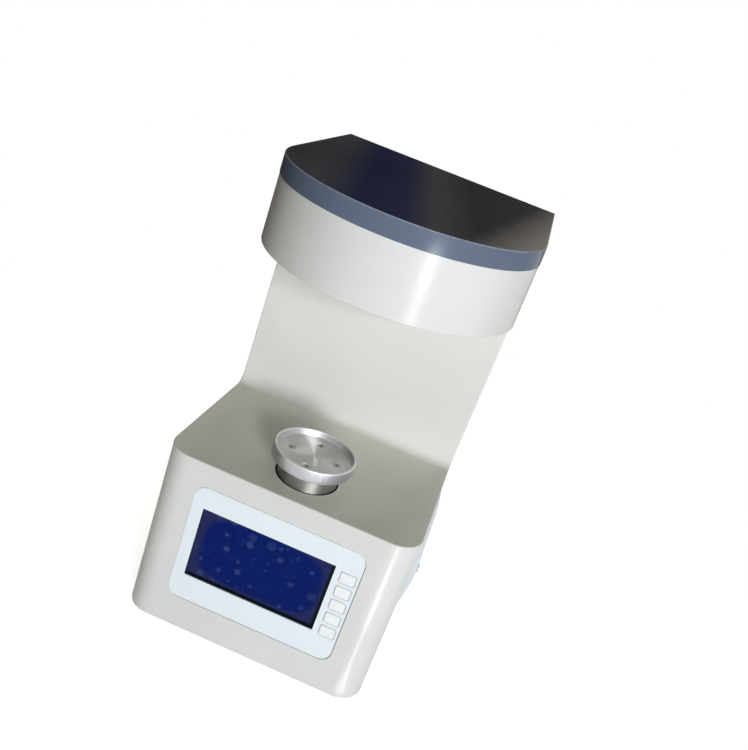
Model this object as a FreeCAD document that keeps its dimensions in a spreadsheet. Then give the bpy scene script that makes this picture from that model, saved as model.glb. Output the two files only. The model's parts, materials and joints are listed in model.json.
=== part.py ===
import FreeCAD, Part
import os
from types import SimpleNamespace

import Sketcher
from FreeCAD import Placement, Rotation, Vector

# Automatic surface tensiometer: a ring or plate hangs from the balance in the head, and the
# motor in the base lifts and lowers the sample dish below it.
# Frame: X to the right, Y to the back, Z up. The origin lies on the surface that the feet
# stand on, under the middle of the base.

SIZES = (
    # housing: base and column in one shell
    ("base_width", 210.0),
    ("base_depth", 281.0),
    ("base_height", 155.4),
    ("corner_radius", 21.6),
    ("edge_radius", 1.2),
    ("cove_radius", 9.0),
    ("wall", 2.5),
    ("column_depth", 126.0),
    ("bay_height", 160.3),
    ("rear_rim", 16.0),
    ("cable_hole_width", 60.0),
    ("cable_hole_depth", 30.0),
    # underside
    ("foot_height", 10.0),
    ("foot_radius", 12.0),
    ("foot_tip_radius", 10.2),
    ("foot_well", 5.0),
    ("foot_well_gap", 1.0),
    ("foot_inset", 40.0),
    ("bottom_thickness", 2.0),
    ("bottom_gap", 0.4),
    ("lug_width", 12.0),
    ("lug_height", 15.0),
    ("lug_inset", 45.0),
    # head
    ("head_overhang", 1.0),
    ("head_setback", 2.4),
    ("drum_height", 53.2),
    ("lid_height", 15.1),
    ("lid_overhang", 0.4),
    ("lid_edge_radius", 0.8),
    ("lip_thickness", 1.6),
    ("lip_depth", 8.0),
    ("lip_gap", 0.3),
    ("hook_hole_radius", 6.0),
    ("head_bolt_spacing", 120.0),
    ("head_bolt_inset", 31.5),
    ("lid_bolt_spacing", 127.2),
    # front panel
    ("overlay_width", 143.0),
    ("overlay_height", 106.3),
    ("overlay_bottom", 30.0),
    ("overlay_radius", 10.0),
    ("overlay_thickness", 0.8),
    ("overlay_proud", 0.6),
    ("overlay_gap", 0.15),
    ("membrane_thickness", 0.8),
    ("window_width", 112.3),
    ("window_height", 64.7),
    ("window_left", 9.8),
    ("window_bottom", 23.2),
    ("window_ledge", 3.0),
    ("key_width", 13.2),
    ("key_height", 10.2),
    ("key_radius", 1.6),
    ("key_pitch", 13.3),
    ("key_right", 2.4),
    ("key_top", 25.9),
    ("key_gap", 0.3),
    ("key_thickness", 0.8),
    ("key_proud", 0.25),
    ("key_bevel", 0.2),
    ("key_travel", 0.35),
    ("dome_radius", 4.0),
    ("display_depth", 7.0),
    ("display_rim", 6.0),
    ("display_face", 0.8),
    ("display_border_right", 2.6),
    ("display_border", 0.8),
    ("display_board_margin", 1.0),
    ("board_thickness", 1.6),
    # sample dish and lift
    ("dish_setback", 42.0),
    ("dish_radius", 33.9),
    ("dish_wall", 2.4),
    ("dish_band", 10.8),
    ("dish_recess", 5.4),
    ("dish_bevel", 0.6),
    ("dish_rest", 14.2),
    ("dish_screw_circle", 19.4),
    ("dish_screw_head", 4.0),
    ("dish_screw_shank", 2.0),
    ("dish_screw_length", 9.0),
    ("dish_screw_sunk", 0.5),
    ("hex_socket_radius", 1.6),
    ("hex_socket_depth", 1.2),
    ("post_radius", 24.8),
    ("post_bore", 15.0),
    ("post_gap", 1.5),
    ("post_length", 75.6),
    ("post_cap", 8.0),
    ("lift_width", 112.0),
    ("lift_plate_depth", 56.0),
    ("lift_plate_thickness", 6.0),
    ("pillar_radius", 6.0),
    ("pillar_length", 42.0),
    ("pillar_spacing_x", 96.0),
    ("pillar_spacing_y", 40.0),
    ("guide_spacing", 72.0),
    ("guide_radius", 5.0),
    ("guide_length", 88.0),
    ("running_gap", 0.05),
    ("motor_width", 42.0),
    ("motor_height", 38.0),
    ("motor_pilot_radius", 11.0),
    ("motor_pilot_height", 2.0),
    ("motor_pilot_gap", 0.3),
    ("motor_end_cap", 4.0),
    ("motor_shaft_radius", 2.5),
    ("coupling_radius", 9.0),
    ("coupling_length", 20.0),
    ("coupling_rise", 1.5),
    ("coupling_slit", 0.8),
    ("coupling_slit_depth", 1.5),
    ("coupling_slit_pitch", 4.0),
    ("screw_radius", 4.0),
    ("screw_length", 76.0),
    ("bush_radius", 9.5),
    ("bush_length", 29.0),
    ("carriage_thickness", 10.0),
    ("carriage_width", 100.0),
    ("carriage_depth", 34.0),
    ("nut_radius", 7.0),
    ("nut_length", 12.0),
    ("nut_flange_radius", 11.0),
    ("nut_flange_thickness", 3.5),
    ("limit_width", 20.0),
    ("limit_depth", 7.0),
    ("limit_height", 10.0),
    ("limit_inset", 2.0),
    ("lever_length", 16.0),
    ("lever_width", 3.0),
    ("lever_thickness", 1.0),
    # electronics in the base
    ("main_board_width", 110.0),
    ("main_board_depth", 95.0),
    ("main_board_gap", 2.0),
    ("main_board_back", 22.0),
    ("standoff_radius", 3.0),
    ("standoff_height", 8.0),
    ("standoff_inset", 6.0),
    ("relay_left", 12.0),
    ("relay_front", 60.0),
    ("relay_width", 28.0),
    ("relay_depth", 12.0),
    ("relay_height", 15.0),
    ("chip_left", 55.0),
    ("chip_front", 40.0),
    ("chip_width", 20.0),
    ("chip_height", 2.0),
    ("header_left", 10.0),
    ("header_pitch", 24.0),
    ("header_width", 18.0),
    ("header_depth", 8.0),
    ("header_height", 9.0),
    ("supply_gap", 7.0),
    ("supply_depth", 98.0),
    ("supply_height", 34.0),
    ("supply_right", 12.0),
    ("supply_back", 14.0),
    # rear panel
    ("panel_margin", 7.0),
    ("panel_thickness", 2.0),
    ("inlet_right", 48.0),
    ("inlet_rise", 66.0),
    ("inlet_width", 27.4),
    ("inlet_height", 20.0),
    ("inlet_flange_width", 34.0),
    ("inlet_flange_height", 26.0),
    ("inlet_flange", 1.4),
    ("inlet_depth", 22.0),
    ("socket_width", 24.4),
    ("socket_height", 16.6),
    ("socket_depth", 17.0),
    ("socket_chamfer", 4.0),
    ("pin_width", 2.0),
    ("pin_height", 4.0),
    ("pin_length", 10.5),
    ("pin_pitch", 7.0),
    ("pin_offset", 2.0),
    ("switch_rise", 108.0),
    ("switch_width", 12.0),
    ("switch_height", 19.6),
    ("switch_rim", 2.4),
    ("switch_flange", 1.4),
    ("switch_depth", 14.0),
    ("switch_wall", 1.2),
    ("switch_floor", 2.0),
    ("rocker_tilt", 8.0),
    ("rocker_half", 8.4),
    ("rocker_rise", 2.6),
    ("rocker_dip", 1.0),
    ("rocker_skirt", 0.5),
    ("rocker_heel", 4.0),
    ("rocker_heel_half", 3.4),
    ("rocker_side_gap", 0.3),
    ("rocker_pin_radius", 1.0),
    ("fuse_left", 34.0),
    ("fuse_radius", 6.0),
    ("fuse_cap_radius", 8.0),
    ("fuse_cap_height", 2.6),
    ("fuse_depth", 30.0),
    ("fuse_slot_width", 1.2),
    ("fuse_slot_depth", 1.0),
    ("serial_left", 55.0),
    ("serial_rise", 66.0),
    ("serial_width", 31.0),
    ("serial_height", 12.6),
    ("serial_flange", 0.9),
    ("serial_shell_width", 17.0),
    ("serial_shell_height", 8.6),
    ("serial_shell_proud", 2.2),
    ("serial_depth", 10.0),
    ("serial_shell_wall", 0.5),
    ("serial_mouth_depth", 4.6),
    ("serial_tongue_gap", 1.0),
    ("serial_tongue_dip", 1.0),
    ("serial_pin_pitch", 2.7),
    ("serial_pin_row", 1.0),
    ("serial_pin_radius", 0.5),
    ("serial_pin_depth", 1.5),
    ("jack_spacing", 24.8),
    ("jack_width", 4.0),
    ("jack_height", 2.0),
    ("vent_width", 70.0),
    ("vent_height", 3.0),
    ("vent_pitch", 8.0),
    ("vent_rise", 190.0),
    # printer in the right-hand side
    ("bezel_length", 108.0),
    ("bezel_height", 58.0),
    ("bezel_setback", 45.4),
    ("bezel_rise", 74.6),
    ("bezel_radius", 6.0),
    ("bezel_rim", 0.9),
    ("bezel_crown", 4.7),
    ("bezel_slope", 12.0),
    ("bezel_overlap", 5.0),
    ("tub_gap", 0.5),
    ("tub_wall", 1.5),
    ("tub_depth", 42.0),
    ("door_length", 66.0),
    ("door_back", 11.0),
    ("door_gap", 0.3),
    ("door_hinge_gap", 0.8),
    ("paper_slot", 0.9),
    ("door_barrel_radius", 1.6),
    ("door_pin_radius", 0.6),
    ("door_pin_hold", 3.0),
    ("roll_radius", 16.0),
    ("roll_core_radius", 6.0),
    ("roll_length", 57.0),
    ("roll_gap", 0.3),
    ("roll_back_gap", 1.0),
    ("roll_side_gap", 1.5),
    ("platen_radius", 4.5),
    ("platen_shaft_radius", 1.5),
    ("platen_cheek", 2.0),
    ("platen_cheek_back", 9.0),
    ("platen_cheek_length", 13.0),
    ("platen_cheek_drop", 6.0),
    ("platen_below_top", 9.0),
    ("platen_behind_face", 5.5),
    ("print_head_height", 6.0),
    ("print_head_gap", 0.3),
    ("button_radius", 4.0),
    ("button_flange", 5.2),
    ("button_setback", 17.0),
    ("button_proud", 0.6),
    ("button_gap", 0.15),
    ("button_skirt", 1.0),
    ("button_skirt_gap", 0.4),
    ("button_cover", 2.0),
    # balance in the head
    ("bracket_width", 74.0),
    ("bracket_length", 130.0),
    ("bracket_thickness", 5.0),
    ("bracket_setback", 16.0),
    ("cheek_thickness", 4.0),
    ("cheek_depth", 18.0),
    ("cheek_gap", 1.0),
    ("cheek_over_pivot", 8.0),
    ("pivot_setback", 54.0),
    ("pivot_rise", 24.0),
    ("pivot_radius", 1.5),
    ("beam_width", 9.0),
    ("beam_height", 7.0),
    ("beam_over_hook", 4.0),
    ("coil_setback", 54.0),
    ("coil_radius", 12.0),
    ("coil_wall", 1.8),
    ("coil_height", 9.0),
    ("coil_dip", 5.0),
    ("coil_stem_radius", 2.5),
    ("magnet_gap", 1.5),
    ("magnet_wall", 4.0),
    ("hook_radius", 0.8),
    ("hook_drop", 9.0),
    ("hook_bend", 2.4),
    ("guard_wall", 1.5),
    ("guard_drop", 3.0),
    ("guard_flange", 11.0),
    ("guard_flange_thickness", 1.2),
    ("sensor_board_width", 44.0),
    ("sensor_board_depth", 70.0),
    ("sensor_board_gap", 6.0),
    ("sensor_board_setback", -12.0),
    ("sensor_can_inset", 10.0),
    ("sensor_can_width", 22.0),
    ("sensor_can_depth", 30.0),
    ("sensor_can_height", 6.0),
    # fasteners
    ("bolt_radius", 2.0),
    ("bolt_head_radius", 3.8),
    ("bolt_head_height", 2.2),
    ("bolt_length", 8.0),
)
SIZE_NAMES = [name for name, _ in SIZES]


class Value:
    """A number of millimetres, and the formula that gives it from the sheet's sizes."""

    def __init__(self, number, formula):
        self.number = number
        self.formula = formula

    def __add__(self, other):
        other = value(other)
        return Value(self.number + other.number, f"({self.formula} + {other.formula})")

    def __sub__(self, other):
        other = value(other)
        return Value(self.number - other.number, f"({self.formula} - {other.formula})")

    def __mul__(self, other):
        other = value(other)
        return Value(self.number * other.number, f"({self.formula} * {other.formula})")

    def __truediv__(self, other):
        other = value(other)
        return Value(self.number / other.number, f"({self.formula} / {other.formula})")

    def __radd__(self, other):
        return value(other) + self

    def __rsub__(self, other):
        return value(other) - self

    def __rmul__(self, other):
        return value(other) * self

    def __neg__(self):
        return value(0) - self


def value(amount):
    """The amount as a Value, whether it is one already or a plain number."""
    return amount if isinstance(amount, Value) else Value(float(amount), f"({amount})")


def fill_sheet(document):
    """Write every driving size into the spreadsheet, under its own name."""
    sheet = document.addObject("Spreadsheet::Sheet", "Sizes")
    for row, (name, number) in enumerate(SIZES, start=1):
        sheet.set(f"A{row}", name)
        sheet.set(f"B{row}", str(number))
        sheet.setAlias(f"B{row}", name)
    document.recompute()
    return SimpleNamespace(**{name: Value(float(sheet.get(name)), f"Sizes.{name}") for name in SIZE_NAMES})


doc = FreeCAD.newDocument("SurfaceTensiometer")
size = fill_sheet(doc)
pieces = []

AXES = {"x": Vector(1, 0, 0), "y": Vector(0, 1, 0), "z": Vector(0, 0, 1)}
TURN_TO = {"x": Rotation(AXES["y"], 90), "y": Rotation(AXES["x"], -90), "z": Rotation()}
NEAR = 0.01
OVERRUN = 1
EMBED = 1
VENTS = 9
HEADERS = 4
SERIAL_PINS = 9
LONG_ROW = 5


# ------------------------------------------------------------------------- modelling helpers
def bind(thing, prop, amount):
    """Drive one property of an object by a formula on the sheet."""
    thing.setExpression(prop, value(amount).formula)


def at(thing, x, y, z):
    """Place an object's own origin."""
    for axis, amount in zip("xyz", (x, y, z)):
        bind(thing, f"Placement.Base.{axis}", amount)
    return thing


def piece(thing, label):
    """Keep an object as a finished piece under its own name."""
    thing.Label = label
    pieces.append(thing)
    return thing


def box(name, x, y, z, length, width, height):
    """A block, from its lowest corner."""
    solid = doc.addObject("Part::Box", name)
    bind(solid, "Length", length)
    bind(solid, "Width", width)
    bind(solid, "Height", height)
    return at(solid, x, y, z)


def spread(along, start, across):
    """Three coordinates from one along an axis and the two across it, in X, Y, Z order."""
    place = list(across)
    place.insert("xyz".index(along), start)
    return place


def rod(name, along, start, across, radius, length):
    """A round bar along an axis, from its lower end."""
    solid = doc.addObject("Part::Cylinder", name)
    bind(solid, "Radius", radius)
    bind(solid, "Height", length)
    solid.Placement = Placement(Vector(), TURN_TO[along])
    return at(solid, *spread(along, start, across))


def cone(name, start, across, low_radius, high_radius, length):
    """An upright cone, from its lower end."""
    solid = doc.addObject("Part::Cone", name)
    bind(solid, "Radius1", low_radius)
    bind(solid, "Radius2", high_radius)
    bind(solid, "Height", length)
    return at(solid, *across, start)


def fuse(name, *parts):
    """One solid from several that meet."""
    whole = doc.addObject("Part::MultiFuse", name)
    whole.Shapes = list(parts)
    whole.Refine = True
    return whole


def group(name, *parts):
    """Several loose solids kept as one piece."""
    whole = doc.addObject("Part::Compound", name)
    whole.Links = list(parts)
    return whole


def cut(name, base, *tools):
    """Take one or more solids away from another."""
    rest = doc.addObject("Part::Cut", name)
    rest.Base = base
    rest.Tool = tools[0] if len(tools) == 1 else group(f"{name}_tools", *tools)
    return rest


def common(name, base, tool):
    """What two solids share."""
    shared = doc.addObject("Part::Common", name)
    shared.Base = base
    shared.Tool = tool
    return shared


def tube(name, along, start, across, radius, bore, length):
    """A round bar with a hole right through."""
    return cut(name, rod(f"{name}_bar", along, start, across, radius, length),
               rod(f"{name}_bore", along, start, across, bore, length))


def bolt(name, along, sense, seat, across, length):
    """A pan-head screw whose head lies on its seat, on the side that sense gives."""
    head_start = seat if sense > 0 else seat - size.bolt_head_height
    shank_start = seat - length if sense > 0 else seat
    return fuse(name,
                rod(f"{name}_head", along, head_start, across, size.bolt_head_radius,
                    size.bolt_head_height),
                rod(f"{name}_shank", along, shank_start, across, size.bolt_radius, length))


def new_body(name):
    return doc.addObject("PartDesign::Body", name)


def sketch_on(body, plane, height):
    """A sketch on one of the body's own planes, moved along the plane's normal."""
    sketch = body.newObject("Sketcher::SketchObject", f"{body.Name}_sketch")
    flat = next(item for item in body.Origin.OriginFeatures if item.Role == f"{plane}_Plane")
    sketch.AttachmentSupport = [(flat, "")]
    sketch.MapMode = "FlatFace"
    bind(sketch, "AttachmentOffset.Base.z", height)
    return sketch


def limit(sketch, amount, *constraint):
    """Add a constraint whose size comes from the sheet."""
    amount = value(amount)
    index = sketch.addConstraint(Sketcher.Constraint(*constraint, amount.number))
    sketch.setExpression(f"Constraints[{index}]", amount.formula)


def pin(sketch, line, end, x, y):
    """Hold one end of a line at x, y from the sketch's origin."""
    limit(sketch, x, "DistanceX", -1, 1, line, end)
    limit(sketch, y, "DistanceY", -1, 1, line, end)


def flat_point(corner):
    return Vector(value(corner[0]).number, value(corner[1]).number, 0)


def outline(sketch, corners):
    """A closed outline through corners (x, y). A third entry rounds the way on to the next
    corner: it is the radius, and a fourth entry is the centre of that round."""
    first = sketch.GeometryCount
    for corner, following in zip(corners, corners[1:] + corners[:1]):
        start, finish = flat_point(corner), flat_point(following)
        if len(corner) == 2:
            sketch.addGeometry(Part.LineSegment(start, finish))
            continue
        centre = flat_point(corner[3])
        half_way = (start + finish) * 0.5 - centre
        crest = centre + half_way * (value(corner[2]).number / half_way.Length)
        sketch.addGeometry(Part.Arc(start, crest, finish))
    lines = range(first, first + len(corners))
    starts = [end_of(sketch, line, flat_point(corner)) for line, corner in zip(lines, corners)]
    for step, (line, corner) in enumerate(zip(lines, corners)):
        after = (step + 1) % len(corners)
        sketch.addConstraint(Sketcher.Constraint(
            "Coincident", line, other_end(starts[step]), lines[after], starts[after]))
        if len(corner) > 2:
            limit(sketch, corner[2], "Radius", line)
        pin(sketch, line, starts[step], corner[0], corner[1])


def other_end(end):
    return 3 - end


def end_of(sketch, line, point):
    """Which end of a sketch line lies at a point: 1 is its start and 2 its finish."""
    return 1 if (sketch.getPoint(line, 1) - point).Length < NEAR else 2


def circles(sketch, centres, radius):
    """Equal circles at several centres."""
    for x, y in centres:
        line = sketch.addGeometry(Part.Circle(flat_point((x, y)), AXES["z"], value(radius).number))
        limit(sketch, radius, "Radius", line)
        pin(sketch, line, 3, x, y)


def rectangle(sketch, left, low, width, height):
    right, high = value(left) + width, value(low) + height
    outline(sketch, [(left, low), (right, low), (right, high), (left, high)])


def rounded(sketch, left, low, width, height, radius):
    """A rectangle with round corners."""
    left, low = value(left), value(low)
    right, high = left + width, low + height
    near_left, near_right = left + radius, right - radius
    near_low, near_high = low + radius, high - radius
    outline(sketch, [
        (near_left, low), (near_right, low, radius, (near_right, near_low)),
        (right, near_low), (right, near_high, radius, (near_right, near_high)),
        (near_right, high), (near_left, high, radius, (near_left, near_high)),
        (left, near_high), (left, near_low, radius, (near_left, near_low)),
    ])


def half_round(sketch, radius, centre_y, back_y):
    """A plan with a half-round front and straight sides back to a flat rear."""
    radius, centre_y, back_y = value(radius), value(centre_y), value(back_y)
    r, cy, by = radius.number, centre_y.number, back_y.number
    arc = sketch.addGeometry(Part.Arc(Vector(-r, cy, 0), Vector(0, cy - r, 0), Vector(r, cy, 0)))
    right = sketch.addGeometry(Part.LineSegment(Vector(r, cy, 0), Vector(r, by, 0)))
    back = sketch.addGeometry(Part.LineSegment(Vector(r, by, 0), Vector(-r, by, 0)))
    left = sketch.addGeometry(Part.LineSegment(Vector(-r, by, 0), Vector(-r, cy, 0)))
    add = sketch.addConstraint
    right_end = end_of(sketch, arc, Vector(r, cy, 0))
    add(Sketcher.Constraint("Coincident", arc, right_end, right, 1))
    add(Sketcher.Constraint("Coincident", right, 2, back, 1))
    add(Sketcher.Constraint("Coincident", back, 2, left, 1))
    add(Sketcher.Constraint("Coincident", left, 2, arc, other_end(right_end)))
    pin(sketch, arc, 3, 0, centre_y)
    limit(sketch, radius, "Radius", arc)
    for side, end, far_end in ((right, 1, 2), (left, 2, 1)):
        limit(sketch, centre_y, "DistanceY", -1, 1, side, end)
        limit(sketch, back_y, "DistanceY", -1, 1, side, far_end)
        add(Sketcher.Constraint("Vertical", side))


def pad(body, sketch, length):
    """Grow a sketch along its plane's normal."""
    feature = body.newObject("PartDesign::Pad", f"{body.Name}_pad")
    feature.Profile = sketch
    bind(feature, "Length", length)
    return feature


def pocket(body, sketch, depth):
    """Cut a sketch into the body against its plane's normal."""
    feature = body.newObject("PartDesign::Pocket", f"{body.Name}_pocket")
    feature.Profile = sketch
    bind(feature, "Length", depth)
    return feature


def revolve(body, sketch):
    """Turn a sketch once round its own upright axis."""
    feature = body.newObject("PartDesign::Revolution", f"{body.Name}_turning")
    feature.Profile = sketch
    feature.ReferenceAxis = (sketch, ["V_Axis"])
    feature.Angle = 360
    return feature


def soften(body, radius, wanted, kind="Fillet"):
    """Round, or chamfer, the edges of the body that a test picks out."""
    doc.recompute()
    before = body.Tip
    names = [f"Edge{number}" for number, edge in enumerate(before.Shape.Edges, start=1) if wanted(edge)]
    feature = body.newObject(f"PartDesign::{kind}", f"{body.Name}_{kind.lower()}")
    feature.Base = (before, names)
    bind(feature, "Radius" if kind == "Fillet" else "Size", radius)
    return feature


def runs_along(edge, axis):
    return edge.Curve.TypeId == "Part::GeomLine" and abs(edge.Curve.Direction.dot(AXES[axis])) > 0.999


def is_near(number, amount):
    return abs(number - value(amount).number) < NEAR


def is_upright_at(edge, y):
    return runs_along(edge, "z") and is_near(edge.CenterOfMass.y, y)


# ----------------------------------------------------------------------------- shared levels
HALF_WIDTH = size.base_width / 2
HEAD_RADIUS = HALF_WIDTH + size.head_overhang
FRONT = -size.base_depth / 2
BACK = size.base_depth / 2
COLUMN_FRONT = BACK - size.column_depth
BOTTOM = size.foot_height
BASE_TOP = BOTTOM + size.base_height
HEAD_FLOOR = BASE_TOP + size.bay_height
DRUM_TOP = HEAD_FLOOR + size.drum_height
FLOOR_UP = BOTTOM + size.bottom_thickness
HEAD_INSIDE = HEAD_FLOOR + size.wall
HEAD_CENTRE = FRONT + size.head_setback + HEAD_RADIUS
DISH_Y = FRONT + size.dish_setback
PANEL_FACE = BACK + size.panel_thickness

RECESS_DEPTH = size.membrane_thickness + size.overlay_thickness - size.overlay_proud
OVERLAY_LEFT = -size.overlay_width / 2
OVERLAY_LOW = BOTTOM + size.overlay_bottom
WINDOW_LEFT = OVERLAY_LEFT + size.window_left
WINDOW_LOW = OVERLAY_LOW + size.window_bottom
MEMBRANE_BACK = FRONT + RECESS_DEPTH
INNER_FRONT = FRONT + size.wall

DISH_UNDER = BASE_TOP + size.dish_rest
DISH_RIM = DISH_UNDER + size.dish_band
DISH_FLOOR = DISH_RIM - size.dish_recess
LIFT_FLOOR = FLOOR_UP + size.pillar_length
LIFT_DECK = LIFT_FLOOR + size.lift_plate_thickness
LIFT_ROOF = LIFT_DECK + size.guide_length
CARRIAGE_TOP = DISH_UNDER - size.post_length
CARRIAGE_LOW = CARRIAGE_TOP - size.carriage_thickness

BEZEL_FRONT = FRONT + size.bezel_setback
BEZEL_LOW = BOTTOM + size.bezel_rise
HOLE_LENGTH = size.bezel_length - 2 * size.bezel_overlap
HOLE_HEIGHT = size.bezel_height - 2 * size.bezel_overlap
HOLE_FRONT = BEZEL_FRONT + size.bezel_overlap
HOLE_LOW = BEZEL_LOW + size.bezel_overlap
DOOR_HINGE_Z = HOLE_LOW + size.door_hinge_gap + size.door_barrel_radius
DOOR_HINGE_X = HALF_WIDTH + size.door_gap + size.door_barrel_radius
DOOR_FRONT = BEZEL_FRONT + size.bezel_length - size.door_back - size.door_length
DOOR_TOP = HOLE_LOW + HOLE_HEIGHT - size.paper_slot
BUTTON_Y = BEZEL_FRONT + size.button_setback
BUTTON_Z = BEZEL_LOW + size.bezel_height / 2
COVER_REACH = size.bezel_rim + size.bezel_crown
BUTTON_WELL = COVER_REACH - size.button_cover

LUGS = [(side, y) for side in (-1, 1) for y in (FRONT + size.lug_inset, BACK - size.lug_inset)]
LUG_X = HALF_WIDTH - size.wall - size.lug_width / 2
FEET = [(side * (HALF_WIDTH - size.foot_inset), y)
        for side in (-1, 1) for y in (FRONT + size.foot_inset, BACK - size.foot_inset)]
PANEL_LEFT = size.panel_margin - HALF_WIDTH
PANEL_LOW = BOTTOM + size.panel_margin
PANEL_WIDTH = size.base_width - 2 * size.panel_margin
PANEL_HEIGHT = HEAD_FLOOR - BOTTOM - 2 * size.panel_margin
PANEL_BOLT_X = HALF_WIDTH - (size.panel_margin + size.rear_rim) / 2
PANEL_BOLT_RISE = (size.panel_margin + size.rear_rim) / 2
PANEL_BOLTS = [(side * PANEL_BOLT_X, z) for side in (-1, 1) for z in (
    BOTTOM + PANEL_BOLT_RISE, (BOTTOM + HEAD_FLOOR) / 2, HEAD_FLOOR - PANEL_BOLT_RISE)]
HEAD_BOLTS = [(side * size.head_bolt_spacing / 2, y) for side in (-1, 1)
              for y in (COLUMN_FRONT + size.head_bolt_inset, BACK - size.head_bolt_inset)]
LID_BOLTS = [(side * size.lid_bolt_spacing / 2, DRUM_TOP - size.lip_depth / 2) for side in (-1, 1)]
PILLARS = [(side * size.pillar_spacing_x / 2, DISH_Y + end * size.pillar_spacing_y / 2)
           for side in (-1, 1) for end in (-1, 1)]
GUIDES = [(side * size.guide_spacing / 2, DISH_Y) for side in (-1, 1)]
CABLE_HOLE_Y = BACK - size.column_depth / 2 - size.cable_hole_depth / 2
DISH_SCREWS = [(side * size.dish_screw_circle, DISH_Y) for side in (-1, 1)]
DISH_SCREWS += [(value(0), DISH_Y + side * size.dish_screw_circle) for side in (-1, 1)]


def key_place(number):
    """The lower left corner of a key, counted from the top one down."""
    left = -OVERLAY_LEFT - size.key_right - size.key_width
    middle = OVERLAY_LOW + size.overlay_height - size.key_top - number * size.key_pitch
    return left, middle - size.key_height / 2


KEYS = [key_place(number) for number in range(5)]


# ----------------------------------------------------------------------------------- housing
def main_housing():
    """Base and column in one sheet-metal shell, with a cove between the base's top and the
    column's face, open below and closed behind by a removable panel."""
    body = new_body("main_housing")
    cove, wall = size.cove_radius, size.wall
    side = sketch_on(body, "YZ", -HALF_WIDTH)
    outline(side, [
        (FRONT, BOTTOM), (BACK, BOTTOM), (BACK, HEAD_FLOOR), (COLUMN_FRONT, HEAD_FLOOR),
        (COLUMN_FRONT, BASE_TOP + cove, cove, (COLUMN_FRONT - cove, BASE_TOP + cove)),
        (COLUMN_FRONT - cove, BASE_TOP), (FRONT, BASE_TOP),
    ])
    pad(body, side, size.base_width)
    soften(body, size.corner_radius, lambda edge: is_upright_at(edge, FRONT))
    soften(body, size.edge_radius, on_outer_bend)
    soften(body, size.edge_radius, lambda edge: is_upright_at(edge, BACK))

    inner_radius = size.corner_radius - wall
    side_x, front_y, back_y = HALF_WIDTH - wall, FRONT + wall, BACK - wall
    turn_x, turn_y = side_x - inner_radius, front_y + inner_radius
    base_room = sketch_on(body, "XY", BASE_TOP - wall)
    outline(base_room, [
        (-turn_x, front_y), (turn_x, front_y, inner_radius, (turn_x, turn_y)),
        (side_x, turn_y), (side_x, back_y), (-side_x, back_y),
        (-side_x, turn_y, inner_radius, (-turn_x, turn_y)),
    ])
    pocket(body, base_room, size.base_height - wall)
    column_room = sketch_on(body, "YZ", side_x)
    outline(column_room, [
        (COLUMN_FRONT - cove, BASE_TOP - wall), (back_y, BASE_TOP - wall), (back_y, HEAD_FLOOR - wall),
        (COLUMN_FRONT + wall, HEAD_FLOOR - wall),
        (COLUMN_FRONT + wall, BASE_TOP + cove, cove + wall, (COLUMN_FRONT - cove, BASE_TOP + cove)),
    ])
    pocket(body, column_room, size.base_width - 2 * wall)

    lugs = sketch_on(body, "XY", FLOOR_UP)
    for sign, y in LUGS:
        reach = size.lug_width + wall / 2
        left = HALF_WIDTH - wall / 2 - reach if sign > 0 else wall / 2 - HALF_WIDTH
        rectangle(lugs, left, y - size.lug_width / 2, reach, size.lug_width)
    pad(body, lugs, size.lug_height)
    lug_holes = sketch_on(body, "XY", FLOOR_UP + size.bolt_length)
    circles(lug_holes, [(sign * LUG_X, y) for sign, y in LUGS], size.bolt_radius)
    pocket(body, lug_holes, size.bolt_length)

    dish_hole = sketch_on(body, "XY", BASE_TOP)
    circles(dish_hole, [(0, DISH_Y)], size.post_radius + size.post_gap)
    pocket(body, dish_hole, 2 * wall)
    recess = sketch_on(body, "XZ", -FRONT)
    rounded(recess, OVERLAY_LEFT - size.overlay_gap, OVERLAY_LOW - size.overlay_gap,
            size.overlay_width + 2 * size.overlay_gap, size.overlay_height + 2 * size.overlay_gap,
            size.overlay_radius + size.overlay_gap)
    pocket(body, recess, RECESS_DEPTH)
    window = sketch_on(body, "XZ", -FRONT)
    rectangle(window, WINDOW_LEFT - size.window_ledge, WINDOW_LOW - size.window_ledge,
              size.window_width + 2 * size.window_ledge, size.window_height + 2 * size.window_ledge)
    pocket(body, window, 2 * wall)
    printer_hole = sketch_on(body, "YZ", HALF_WIDTH)
    rectangle(printer_hole, HOLE_FRONT, HOLE_LOW, HOLE_LENGTH, HOLE_HEIGHT)
    pocket(body, printer_hole, 2 * wall)

    service = sketch_on(body, "XZ", wall * 2 - BACK)
    rectangle(service, size.rear_rim - HALF_WIDTH, BOTTOM + size.rear_rim,
              size.base_width - 2 * size.rear_rim, HEAD_FLOOR - BOTTOM - 2 * size.rear_rim)
    pocket(body, service, 2 * wall)
    panel_holes = sketch_on(body, "XZ", wall * 2 - BACK)
    circles(panel_holes, PANEL_BOLTS, size.bolt_radius)
    pocket(body, panel_holes, 2 * wall)
    cable_hole = sketch_on(body, "XY", HEAD_FLOOR)
    rectangle(cable_hole, -size.cable_hole_width / 2, CABLE_HOLE_Y, size.cable_hole_width,
              size.cable_hole_depth)
    circles(cable_hole, HEAD_BOLTS, size.bolt_radius)
    pocket(body, cable_hole, 2 * wall)
    piece(body, "main_housing")


def on_outer_bend(edge):
    """The edges where the base's top, the cove and the column's face turn into the sides."""
    centre = edge.CenterOfMass
    at_side = is_near(abs(centre.x), HALF_WIDTH)
    if is_near(centre.z, BASE_TOP):
        return not runs_along(edge, "x") or is_near(centre.y, FRONT)
    if runs_along(edge, "z"):
        return at_side and is_near(centre.y, COLUMN_FRONT)
    return at_side and centre.z > BASE_TOP.number and edge.Curve.TypeId == "Part::GeomCircle"


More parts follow.
